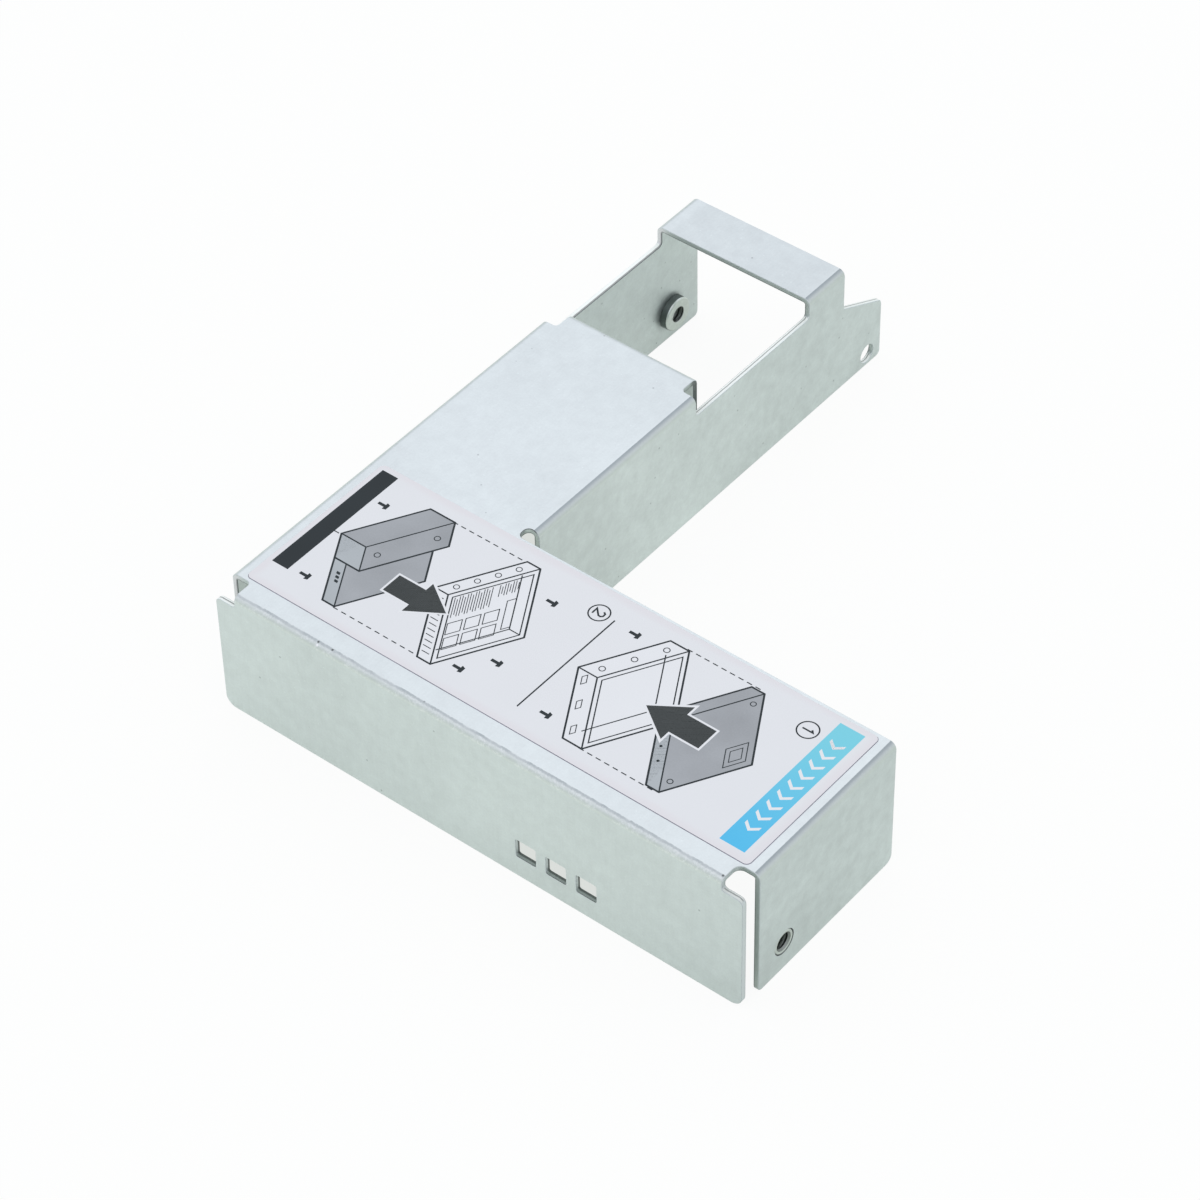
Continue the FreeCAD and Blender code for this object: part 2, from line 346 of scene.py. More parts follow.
def coated_skin(sizes):
    """Dull zinc coat on rolled steel: fine grain, faint clouds, a few specks, painted shade toward the
    back and in patches, a painted shadow round the back nut, and folds with a line of painted shade where
    they begin and rubbed bright further round."""
    finish = Finish("zinc_coat")
    zinc = sizes.zinc
    grain = finish.noise(2.6, detail=3.0, rough=0.65)
    cloud = finish.noise(0.45, detail=3.0, rough=0.6)
    sweep = finish.noise(0.05)
    rolling = finish.noise(2.2, stretch=(1, 14, 14))
    glint = finish.specks(0.9, 0.16, 0.16)
    pit = finish.specks(0.42, 0.1, 0.14) * 0.4
    for spot in FOLD_PITS:
        pit = pit.maximum(finish.round_mark(spot, 0.1, uneven(0.27, (grain, 0.2))))
    bent, flake = rubbed_folds(finish, cloud)
    clouds = 0.9 + finish.leaning("X") * 0.5
    tone = uneven(0.5, (grain, 0.7), (cloud, clouds), (sweep, 0.5), (rolling, 0.22))
    # Painted shade: darker toward the back and in patches beside the slot and round the right nut
    base = finish.shades(tone - painted_shade(finish) * 0.24, zinc, 0.87, 1.1)
    base = finish.mix(glint * 0.35, base, scaled(zinc, 1.22))
    base = finish.mix(bent * 0.7, base, scaled(zinc, 1.0, 1.0, 0.96))
    base = finish.mix(flake * 0.5, base, scaled(zinc, 1.24, 1.19, 1.2))
    # Painted shade in a line where each fold begins
    base = finish.mix(crease_shade_lines(finish, grain, cloud) * 0.95, base, sizes.crease_shade)
    # Painted shadow round the back nut's flange, on the faces inside the long wall
    nut_shadow = finish.round_mark(NUT_SHADOW_SPOT, 3.1, 4.3) * finish.leaning("X")
    base = finish.mix(nut_shadow * 0.28, base, scaled(zinc, 0.3))
    base = finish.mix(pit * 0.85, base, scaled(zinc, 0.12))
    base = finish.mix(finish.round_mark(FOLD_GLINT, 0.12, 0.26), base, (1.0, 1.0, 1.0))
    rough = uneven(0.46, (cloud, 0.16), (grain, 0.14))
    normal = finish.bump(grain * 0.6 + cloud * 0.5 - pit * 0.8 + flake * 0.35, 0.02, 0.5)
    return finish.surface(Base_Color=base, Metallic=0.85, Roughness=rough, Normal=normal)


def facing_front(finish):
    """0 to 1 as the sheet begins to turn to the front."""
    return finish.leaning("Y", -0.03, -0.15)


def rubbed_folds(finish, cloud):
    """1 over the middle of the bends, and 1 in the bright flakes there, most of all at the front."""
    turn = finish.attribute("turn")
    bent = finish.hump(turn, 0.15, 0.5, 0.8, 0.999)
    patch = finish.ramp(cloud, 0.36, 0.56) * (0.2 + facing_front(finish) * 0.8)
    flake = finish.ramp(finish.noise(2.4, rough=0.7), 0.46, 0.6) * bent * patch
    return bent, flake


def crease_shade_lines(finish, grain, cloud):
    """1 in painted shade lines where folds begin: soft where they turn right, ragged where to the front.
    """
    turn = finish.attribute("turn")
    soft = finish.hump(uneven(turn, (grain, 0.06)), 0.09, 0.15, 0.14, 0.62)
    line = finish.hump(uneven(turn, (grain, 0.24), (cloud, 0.3)), 0.06, 0.17, 0.22, 0.42)
    broken = uneven(0.55, (cloud, 1.2))
    return soft * finish.leaning("X", 0.03, 0.15) + line * facing_front(finish) * broken


def painted_shade(finish):
    """Painted shade on the coat: 1 at the back, where light falls off, but not high inside the long wall,
    and more on the faces to the right, beside the slot and round the right nut."""
    inside = finish.before("X", 2, 4) * finish.past("Z", 12, 19)
    back = finish.past("Y", 60, 116) * (1 - inside * 1.1)
    by_slot = finish.band("X", 28, 31, 33, 36) * finish.band("Y", 37, 39, 50, 64)
    by_nut = finish.past("X", 99, 101) * finish.before("Y", 16, 30) * finish.before("Z", 5, 14)
    return back + (by_slot + by_nut) * finish.leaning("X") * 1.3


def sheet_places(finish):
    """1 on the front wall, in the windows' openings and at the front wall's right end, 0 elsewhere."""
    front = finish.before("Y", 2, 5)
    windows = finish.band("X", 50, 56, 78, 84) * finish.before("Z", 8.5, 12) * front
    return front, windows, finish.past("X", 90, 95) * front


def cut_edge(sizes):
    """Sheared steel with a dark, torn line along the inner skin. Painted light makes it pale on the front
    wall's right end and in the windows' sides; painted shade darkens the tab's side and the nuts' holes."""
    finish = Finish("cut_steel")
    steel = sizes.cut_steel
    tear = finish.noise(5.0, detail=3.0, rough=0.7)
    cloud = finish.noise(0.8)
    across = uneven(finish.attribute("across"), (tear, 0.16), (cloud, 0.16))
    _, windows, right_end = sheet_places(finish)
    base = finish.shades(uneven(0.5, (tear, 0.9), (cloud, 0.7)), steel, 0.82, 1.15)
    base = front_edges(finish, base, steel)
    base = finish.mix((1 - finish.ramp(across, 0.0, 0.3)) * 0.4, base, scaled(steel, 1.5))
    # Painted shade on the tab's side, which faces the inner wall closely
    tab = finish.band("Y", 81, 82.3, 84, 86) * finish.leaning("X")
    base = finish.mix(tab, base, scaled(steel, 0.4))
    # Painted light: right-facing edges at the front wall's right end and in the windows are pale
    pale = finish.leaning("X") * right_end.maximum(windows)
    base = finish.mix(pale * uneven(0.9, (tear, 0.4)), base, sizes.lit_side_edge)
    # Dark torn line along the inner skin, widened and darkened by painted shade in the windows
    burr_and_shade = finish.ramp(across + windows * 0.28, 0.7, 0.86)
    base = finish.mix(burr_and_shade * (0.55 + windows * 0.4 - right_end * 0.4), base, scaled(steel, 0.3))
    # Painted light on the cut edges that face up
    upper = finish.leaning("Z", 0.5, 0.85)
    base = finish.mix(upper, base, lit_upper_edges(finish, sizes, across, burr_and_shade))
    # Painted shade in the gaps round the nuts
    base = finish.mix(shade_round_nuts(finish, sizes), base, scaled(steel, 0.25))
    rough = 0.4 + tear * 0.2
    normal = finish.bump(tear, 0.03, 0.5)
    return finish.surface(Base_Color=base, Metallic=0.8 - upper * 0.8, Roughness=rough, Normal=normal)


def front_edges(finish, base, steel):
    """The cut edges that face the front, with painted light: paler near the panel, where they are less
    shaded, but not at the right and the back, and palest at the upper part of the long wall's front edge."""
    ahead = finish.leaning("Y", -0.3, -0.7)
    less_lit = finish.past("X", 90, 95).maximum(finish.past("Y", 100, 105))
    lit_near_panel = finish.shades(less_lit, steel, 1.25, 0.98)
    # Painted light: the front-facing edges are paler high up, near the panel, than lower down
    base = finish.mix(finish.past("Z", 19, 24) * ahead, base, lit_near_panel)
    long_wall = finish.before("X", 0.5, 3) * ahead * finish.past("Z", 12, 19)
    return finish.mix(long_wall, base, scaled(steel, 1.48, 1.34, 1.42))


def lit_upper_edges(finish, sizes, across, burr_and_shade):
    """The cut edges that face up: painted light makes them nearly white, less so at the right end, with a
    grey line along their middle, or along the inner skin on the long wall. Painted shade darkens the
    windows' sills."""
    white, sill_shade = sizes.lit_upper_edge, sizes.sill_shade
    front, windows, right_end = sheet_places(finish)
    long_wall = finish.before("X", 1.5, 3) * (1 - front)
    # Less painted light at the right end
    top = finish.mix(right_end * 0.85, white, scaled(white, 0.72))
    top = finish.mix(long_wall, top, scaled(white, 1.05))
    middle = finish.hump(across, 0.36, 0.5, 0.62, 0.76)
    top = finish.mix(middle * (0.8 + front * 0.15) * (1 - long_wall), top, scaled(white, 0.3))
    top = finish.mix(finish.ramp(across, 0.6, 0.76) * long_wall, top, scaled(white, 0.4))
    return finish.mix(windows, top, finish.mix(burr_and_shade, sill_shade, scaled(sill_shade, 0.4)))


def shade_round_nuts(finish, sizes):
    """1 where shade is painted in the gaps round the nuts' shanks, 0 elsewhere."""
    s = sizes_in_mm(sizes)
    inner, outer = s.nut_hole + 0.15, s.nut_hole + 0.27
    left_front, left_back, right_front = (finish.round_mark(p, inner, outer) for p in nut_spots(s))
    return left_front.maximum(left_back).maximum(right_front)


def rubbed_rim(sizes):
    """The narrow rounds along the cut edges: dark on the inner skin and darker in the slot, worn zinc on
    the outer skin, painted highlight where it faces up, and painted shade in the windows' sills and round
    the nuts."""
    finish = Finish("rubbed_rim")
    rim, worn = sizes.rim, sizes.worn_rim
    wear = finish.noise(1.2, detail=3.0, rough=0.7)
    across = finish.attribute("across")
    share = uneven(0.5, (wear, 1.6))
    outer = finish.shades(share, worn, 0.85, 1.1)
    base = finish.mix(across, outer, finish.shades(share, rim, 0.75, 1.3))
    _, windows, right_end = sheet_places(finish)
    upward = finish.leaning("Z", 0.3, 0.6)
    lit = upward * (1 - right_end * 0.9) * (1 - finish.past("Z", 24.2, 24.8) * 0.8)
    # Painted highlight on the rounds that face up
    base = finish.mix(lit * (1 - across), base, sizes.bright_rim)
    # Painted shade in the windows' sills
    base = finish.mix(upward * windows, base, scaled(rim, 0.7))
    # Darker in the slot
    slot = finish.band("X", 27.5, 28.5, 31, 31.6) * finish.band("Y", 36.6, 37.4, 40.5, 41.5)
    base = finish.mix(slot, base, scaled(rim, 0.7))
    # Painted shade round the nuts
    base = finish.mix(shade_round_nuts(finish, sizes), base, scaled(rim, 0.8))
    return finish.surface(Base_Color=base, Roughness=0.5 + wear * 0.1, Specular_IOR_Level=0.2)


# The finishes of the nuts and the label


def turned_steel(name, value, roughness, below=0.5):
    """Turned steel with fine tool lines, lighter where it faces up as painted light. Where it faces down,
    its
    colour is multiplied by below: painted shade under 1, painted light over 1.
    """
    finish = Finish(name)
    lines = finish.noise(6.0, stretch=(1, 3, 3))
    cloud = finish.noise(0.9)
    base = finish.shades(uneven(0.5, (lines, 0.5), (cloud, 0.6)), value, 0.8, 1.15)
    # Painted light where the surface faces up
    base = finish.mix(finish.leaning("Z", 0.15, 0.6) * 0.8, base, scaled(value, 1.25))
    # Painted shade where the surface faces down; with below over 1 it is painted light
    base = finish.mix(finish.leaning("Z", -0.15, -0.6) * 0.8, base, scaled(value, below))
    rough = roughness + cloud * 0.12
    normal = finish.bump(lines, 0.01, 0.4)
    return finish.surface(Base_Color=base, Metallic=0.95, Roughness=rough, Normal=normal)


def label_film(sizes):
    """White film with a soft sheen, very slight waves and a warmer, darker rim."""
    finish = Finish("label_film")
    film, s = sizes.film, sizes_in_mm(sizes)
    fibre = finish.noise(4.0)
    wave = finish.noise(0.12)
    base = finish.shades(uneven(0.5, (fibre, 0.5), (wave, 0.9)), film, 0.985, 1.015)
    half_x, half_y = s.long / 2, s.deep / 2
    middle = world(s.left + half_x, s.front + half_y, 0) / MM
    past_side = (abs(finish.along("X") - middle.x) - half_x).maximum(
        abs(finish.along("Y") - middle.y) - half_y
    )
    rim = finish.ramp(uneven(past_side, (wave, 1.5)), -1.8, -0.4)
    base = finish.mix(rim * 0.8, base, scaled(film, 0.985, 0.945, 0.95))
    normal = finish.bump(wave * 3 + fibre * 0.05, 0.02, 0.4)
    return finish.surface(Base_Color=base, Roughness=0.42 + fibre * 0.06, Normal=normal)


def ink(name, value, speckle=0.06, far=None):
    """Printing ink, a little uneven, with the film's sheen. It may turn to another colour at the back."""
    finish = Finish(name)
    grain = finish.noise(3.5, rough=0.6)
    cloud = finish.noise(0.12)
    share = uneven(0.5, (grain, 0.6), (cloud, 1.6))
    base = finish.shades(share, value, 1 - speckle, 1 + speckle)
    if far:
        base = finish.mix(finish.past("Y", 4, 36), base, far)
    return finish.surface(Base_Color=base, Roughness=0.4 + grain * 0.1, Specular_IOR_Level=0.25)


# Meshes


def new_piece(name, mesh, materials, nodes=()):
    """Puts a finished mesh in the scene as a piece that rides on the bracket."""
    for material in materials:
        mesh.materials.append(material)
    piece = scene_object(name, mesh)
    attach(piece, "root")
    if nodes:
        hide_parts(*nodes)
    return piece


def scene_object(name, data):
    made = bpy.data.objects.new(name, data)
    bpy.context.scene.collection.objects.link(made)
    return made


def plain_mesh(bm, name):
    """Turns a bmesh into a mesh as it is."""
    mesh = bpy.data.meshes.new(name)
    bm.to_mesh(mesh)
    bm.free()
    return mesh


def mesh_of(bm, name, smooth_below=None):
    """Turns closed bodies into a mesh. Where smooth_below is given, the shading is smooth apart from
    edges sharper than that many degrees."""
    bmesh.ops.recalc_face_normals(bm, faces=bm.faces)
    mesh = plain_mesh(bm, name)
    if smooth_below is not None:
        mesh.polygons.foreach_set("use_smooth", [True] * len(mesh.polygons))
        mesh.set_sharp_from_angle(angle=math.radians(smooth_below))
    return mesh


def baked(source, name):
    """The plain mesh of an object as its modifiers leave it. The object is then removed."""
    graph = bpy.context.evaluated_depsgraph_get()
    mesh = bpy.data.meshes.new_from_object(source.evaluated_get(graph), depsgraph=graph)
    mesh.name = name
    bpy.data.objects.remove(source)
    return mesh


def join_loops(bm, first, second):
    """Faces between two closed loops with as many points as each other."""
    loops = range(len(first))
    return [bm.faces.new((first[n - 1], first[n], second[n], second[n - 1])) for n in loops]


def turned(vector, turn):
    """A flat vector turned to the left, by radians."""
    cos, sin = math.cos(turn), math.sin(turn)
    return Vector((vector.x * cos - vector.y * sin, vector.x * sin + vector.y * cos))


def arc_corner(before, corner, after):
    """Points of the arc that rounds one corner (u, v, radius) of an outline."""
    widest_step = math.radians(11)
    here, radius = Vector(corner[:2]), corner[2]
    back = (Vector(before[:2]) - here).normalized()
    onward = (Vector(after[:2]) - here).normalized()
    half = back.angle(onward) / 2
    reach = radius / math.tan(half)
    centre = here + (back + onward).normalized() * (radius / math.sin(half))
    start = here + back * reach - centre
    sweep = -start.angle_signed(here + onward * reach - centre)
    steps = max(4, round(abs(sweep) / widest_step))
    return [centre + turned(start, sweep * step / steps) for step in range(steps + 1)]


def rounded(corners):
    """An outline as points, with every corner (u, v, radius) rounded."""
    points = []
    for number, corner in enumerate(corners):
        points += arc_corner(corners[number - 1], corner, corners[(number + 1) % len(corners)])
    return [p for number, p in enumerate(points) if (p - points[number - 1]).length > CLOSE]


def rectangle(left, low, right, high):
    return [(left, low), (right, low), (right, high), (left, high)]


def ring(centre, radius, count):
    """Points evenly round a circle."""
    angles = (2 * math.pi * n / count for n in range(count))
    return [Vector(centre) + Vector((math.cos(a), math.sin(a))) * radius for a in angles]


# The sheet: a flat blank, cut out and then folded

X, Y = range(2)


class Fold:
    """A straight fold of the blank. Beyond its line the sheet turns down and becomes a wall.

    axis is the one that crosses the fold, X or Y, and way is 1 or -1 along it. belongs tells whether a
    point of the blank that is beyond the line is part of the wall.
    """

    BEND_STEPS = 9
    HOLD = 0.2

    def __init__(self, line, axis, way, belongs, sizes):
        self.line = line
        self.axis = axis
        self.way = way
        self.belongs = belongs
        self.radius = sizes.bend + sizes.sheet / 2
        self.arc = self.radius * math.pi / 2
        self.foot = sizes.height - sizes.bend - sizes.sheet
        self.top = sizes.height - sizes.sheet / 2

    def blank(self, run, height):
        """Where a point of the wall, at a run along it and a height, lies in the flat blank."""
        across = self.line + self.way * (self.arc + self.foot - height)
        return (across, run) if self.axis == X else (run, across)

    def past(self, point):
        """How far a point of the blank lies beyond the fold line."""
        return (point[self.axis] - self.line) * self.way

    def owns(self, point):
        return self.past(point) > CLOSE and self.belongs(point)

    def folded(self, point):
        """The point of the blank after folding, and how far round the bend it is, from 0 to 1."""
        past = self.past(point)
        turn = min(past / self.radius, math.pi / 2)
        out = self.radius * math.sin(turn)
        drop = self.radius * (1 - math.cos(turn)) + max(0.0, past - self.arc)
        place = [point[0], point[1], self.top - drop]
        place[self.axis] = self.line + self.way * out
        return Vector(place), turn / (math.pi / 2)

    def divide(self, bm):
        """Divides the blank along the fold, so that the bend is round and the sheet beside it flat."""
        across = Vector((0, 0, 0))
        across[self.axis] = self.way
        bend = [self.arc * n / self.BEND_STEPS for n in range(self.BEND_STEPS + 1)]
        for distance in (-self.HOLD, *bend, self.arc + self.HOLD):
            faces = [f for f in bm.faces if any(self.owns(v.co) for v in f.verts)]
            near = dict.fromkeys(faces)
            for face in faces:
                near.update(dict.fromkeys((*face.edges, *face.verts)))
            level = Vector((0, 0, 0))
            level[self.axis] = self.line + self.way * distance
            bmesh.ops.bisect_plane(bm, geom=list(near), dist=SNAP, plane_co=level, plane_no=across)


def sheet_folds(s):
    """The folds of the sheet, by name."""
    fold = s.bend + s.sheet
    beside_notch = s.notch_depth - 1.0
    behind_foot = s.foot + 0.5
    tab_left = s.tab_margin - 0.1
    tab_right = s.arm - tab_left
    before_bridge = s.bridge_front - 1.0
    return {
        "front": Fold(fold, Y, -1, lambda p: True, s),
        "left": Fold(fold, X, -1, lambda p: p[Y] > beside_notch, s),
        "right": Fold(s.width - fold, X, 1, lambda p: p[Y] > beside_notch, s),
        "inner": Fold(s.arm - fold, X, 1, lambda p: p[Y] > behind_foot, s),
        "tab": Fold(
            s.tab_face - fold, Y, 1, lambda p: tab_left < p[X] < tab_right and p[Y] < before_bridge, s
        ),
    }


def blank_outlines(s, folds):
    """The outlines of the flat blank: its edge, then the opening, windows and round holes."""
    outlines = [rounded(blank_edge(s, folds)), rounded(arm_opening(s, folds))]
    front, left, right, inner = (folds[n] for n in ("front", "left", "right", "inner"))
    low, high = s.window_floor, s.window_floor + s.window_height
    for number in range(WINDOWS):
        start = s.first_window + number * s.window_pitch
        corners = rectangle(start, low, start + s.window_width, high)
        outlines.append(rounded([(*front.blank(*corner), WINDOW_CORNER) for corner in corners]))
    for wall, run in ((left, s.nut_front), (left, s.nut_back), (right, s.nut_front)):
        outlines.append(ring(wall.blank(run, s.nut_height), s.nut_hole, NUT_HOLE_SIDES))
    for run in s.drive_holes:
        outlines.append(ring(inner.blank(run, s.drive_hole_height), s.drive_hole, DRIVE_HOLE_SIDES))
    return outlines


def blank_edge(s, folds):
    """Corners (u, v, radius) of the blank's edge, on from the front wall's lower left corner."""
    front, left, right, inner = (folds[n] for n in ("front", "left", "right", "inner"))
    end_top = s.height - s.end_drop
    far_notch = s.width - s.notch_width
    slot_end = s.arm - s.bend - s.sheet - s.slot_reach
    arch = s.driver_notch_width / 2
    arch_round = arch - 0.001
    arch_top = s.driver_notch_height
    driver = s.drive_holes[0]
    return [
        (*front.blank(0, 0), FRONT_FOOT_CORNER),
        (*front.blank(s.front_end, 0), FRONT_FOOT_CORNER),
        (*front.blank(s.front_end, end_top), FRONT_TOP_CORNER),
        (*front.blank(far_notch, end_top), SMALL_CORNER),
        (far_notch, s.notch_depth, RIGHT_NOTCH_CORNER),
        (*right.blank(s.notch_depth, 0), SOFT_CORNER),
        (*right.blank(s.foot, 0), END_WALL_CORNER),
        (slot_end, s.foot, WALL_CORNER),
        (slot_end, s.inner_front, s.slot_reach),
        (*inner.blank(s.inner_front, 0), WALL_CORNER),
        (*inner.blank(s.length, 0), WALL_CORNER),
        (*inner.blank(s.length, s.tail_tip), TAIL_CORNER),
        (*inner.blank(s.wall, s.tail_root), SMALL_CORNER),
        (*left.blank(s.wall, 0), WALL_CORNER),
        (*left.blank(driver + arch, 0), HIDDEN_CORNER),
        (*left.blank(driver + arch, arch_top), arch_round),
        (*left.blank(driver - arch, arch_top), arch_round),
        (*left.blank(driver - arch, 0), HIDDEN_CORNER),
        (*left.blank(s.notch_depth, 0), HIDDEN_CORNER),
        (s.notch_width, s.notch_depth, SOFT_CORNER),
        (*front.blank(s.notch_width, end_top), SMALL_CORNER),
        (*front.blank(0, end_top), FRONT_TOP_CORNER),
    ]


def arm_opening(s, folds):
    """Corners (u, v, radius) of the opening in the arm, with the tab in its front side."""
    left, inner, tab = (folds[n] for n in ("left", "inner", "tab"))
    rail = s.height - s.rail_drop
    tab_right = s.arm - s.tab_margin
    return [
        (*left.blank(s.arm_end, rail), SOFT_CORNER),
        (s.tab_margin, s.arm_end, SOFT_CORNER),
        (*tab.blank(s.tab_margin, s.tab_lift), TAB_CORNER),
        (*tab.blank(tab_right, s.tab_lift), TAB_CORNER),
        (tab_right, s.arm_end, SOFT_CORNER),
        (*inner.blank(s.arm_end, rail), SOFT_CORNER),
        (*inner.blank(s.bridge_front, rail), SOFT_CORNER),
        (*left.blank(s.bridge_front, rail), SOFT_CORNER),
    ]


def stepped_in(outline, step, hole):
    """The outline moved into the sheet by a small step. A hole's outline moves out of the hole."""
    turn = sum(a.cross(b) for a, b in zip(outline, outline[1:] + outline[:1]))
    way = step if (turn > 0) != hole else -step
    moved = []
    for number, here in enumerate(outline):
        before = (here - outline[number - 1]).normalized()
        onward = (outline[(number + 1) % len(outline)] - here).normalized()
        across = Vector((-before.y - onward.y, before.x + onward.x)).normalized()
        moved.append(here + across * way / max(0.5, across.dot(Vector((-before.y, before.x)))))
    return moved


def flat_blank(outlines, edge_round):
    """The blank as a filled flat surface, with a narrow band along each outline for its rounded edge."""
    bm = bmesh.new()
    bands = []
    for number, outline in enumerate(outlines):
        inside = stepped_in(outline, edge_round, hole=number > 0)
        bands.append([[bm.verts.new((*p, 0)) for p in loop] for loop in (outline, inside)])
        for step, corner in enumerate(bands[-1][1]):
            bm.edges.new((bands[-1][1][step - 1], corner))
    bmesh.ops.triangle_fill(bm, use_beauty=True, edges=bm.edges[:], normal=(0, 0, 1))
    for outer, inner in bands:
        for face in join_loops(bm, outer, inner):
            face.material_index = RIM
    bmesh.ops.recalc_face_normals(bm, faces=bm.faces)
    if next(iter(bm.faces)).normal.z < 0:
        bmesh.ops.reverse_faces(bm, faces=bm.faces)
    return bm


def fold_blank(bm, folds, name):
    """Divides the blank along the folds and folds it, as the sheet's middle surface. Its turn attribute
    runs round every bend from 0 on the panel to 1 on the wall."""
    for fold in folds.values():
        fold.divide(bm)
    turn_layer = bm.verts.layers.float.new("turn")
    for vert in bm.verts:
        owner = next((fold for fold in folds.values() if fold.owns(vert.co)), None)
        if owner:
            place, turn = owner.folded(vert.co)
        else:
            place, turn = (vert.co.x, vert.co.y, folds["front"].top), 0.0
        vert[turn_layer] = turn
        vert.co = world(*place)
    for face in bm.faces:
        face.smooth = True
    bm.normal_update()
    return plain_mesh(bm, name)


def thickened(mesh, name, sheet, edge_round, finishes):
    """The sheet's full mesh from its middle surface: both skins and the cut edges. The blank's border
    is a little thinner, which rounds the edges. The finishes are those of skin, rim and cut edge."""
    source = scene_object(name, mesh)
    for finish in finishes:
        mesh.materials.append(finish)
    border = source.vertex_groups.new(name="thickness")
    border.add([v.index for v in mesh.vertices], 1.0, "REPLACE")
    uses = Counter(key for face in mesh.polygons for key in face.edge_keys)
    outer = {number for key, count in uses.items() if count == 1 for number in key}
    border.add(list(outer), 1 - 2 * edge_round / sheet, "REPLACE")
    solid = source.modifiers.new("sheet", "SOLIDIFY")
    solid.thickness = sheet * MM
    solid.offset = 0
    solid.use_even_offset = True
    solid.material_offset_rim = CUT - RIM
    solid.vertex_group = "thickness"
    result = baked(source, name)
    shade_flats(result)
    mark_across(result)
    return result


def mark_across(mesh):
    """Adds the attribute across, which is 0 on the sheet's outer skin and 1 on its inner skin."""
    half = len(mesh.vertices) // 2
    highest = max(mesh.vertices, key=lambda vert: vert.co.z)
    first = 0.0 if highest.index < half else 1.0
    across = mesh.attributes.new("across", "FLOAT", "POINT")
    across.data.foreach_set("value", [first] * half + [1.0 - first] * half)


def shade_flats(mesh):
    """Smooth shading in which every corner of a flat keeps the flat's own normal, and the narrow rounds
    pass from the skin's normal to the cut edge's."""
    level, skin, cut = ([Vector((0, 0, 0)) for _ in mesh.vertices] for _ in range(3))
    for face in mesh.polygons:
        face.use_smooth = True
        weighted = face.normal * face.area
        flat = max(abs(part) for part in face.normal) > FLAT
        for number in face.vertices:
            if face.material_index == SKIN:
                skin[number] += weighted
                if flat:
                    level[number] += weighted
            elif face.material_index == CUT:
                cut[number] += weighted
    normals = []
    for choices in zip(level, skin, cut):
        found = next((total for total in choices if total.length > 0), Vector((0, 0, 1)))
        normals.append(found.normalized())
    mesh.normals_split_custom_set_from_vertices(normals)


# Property groups


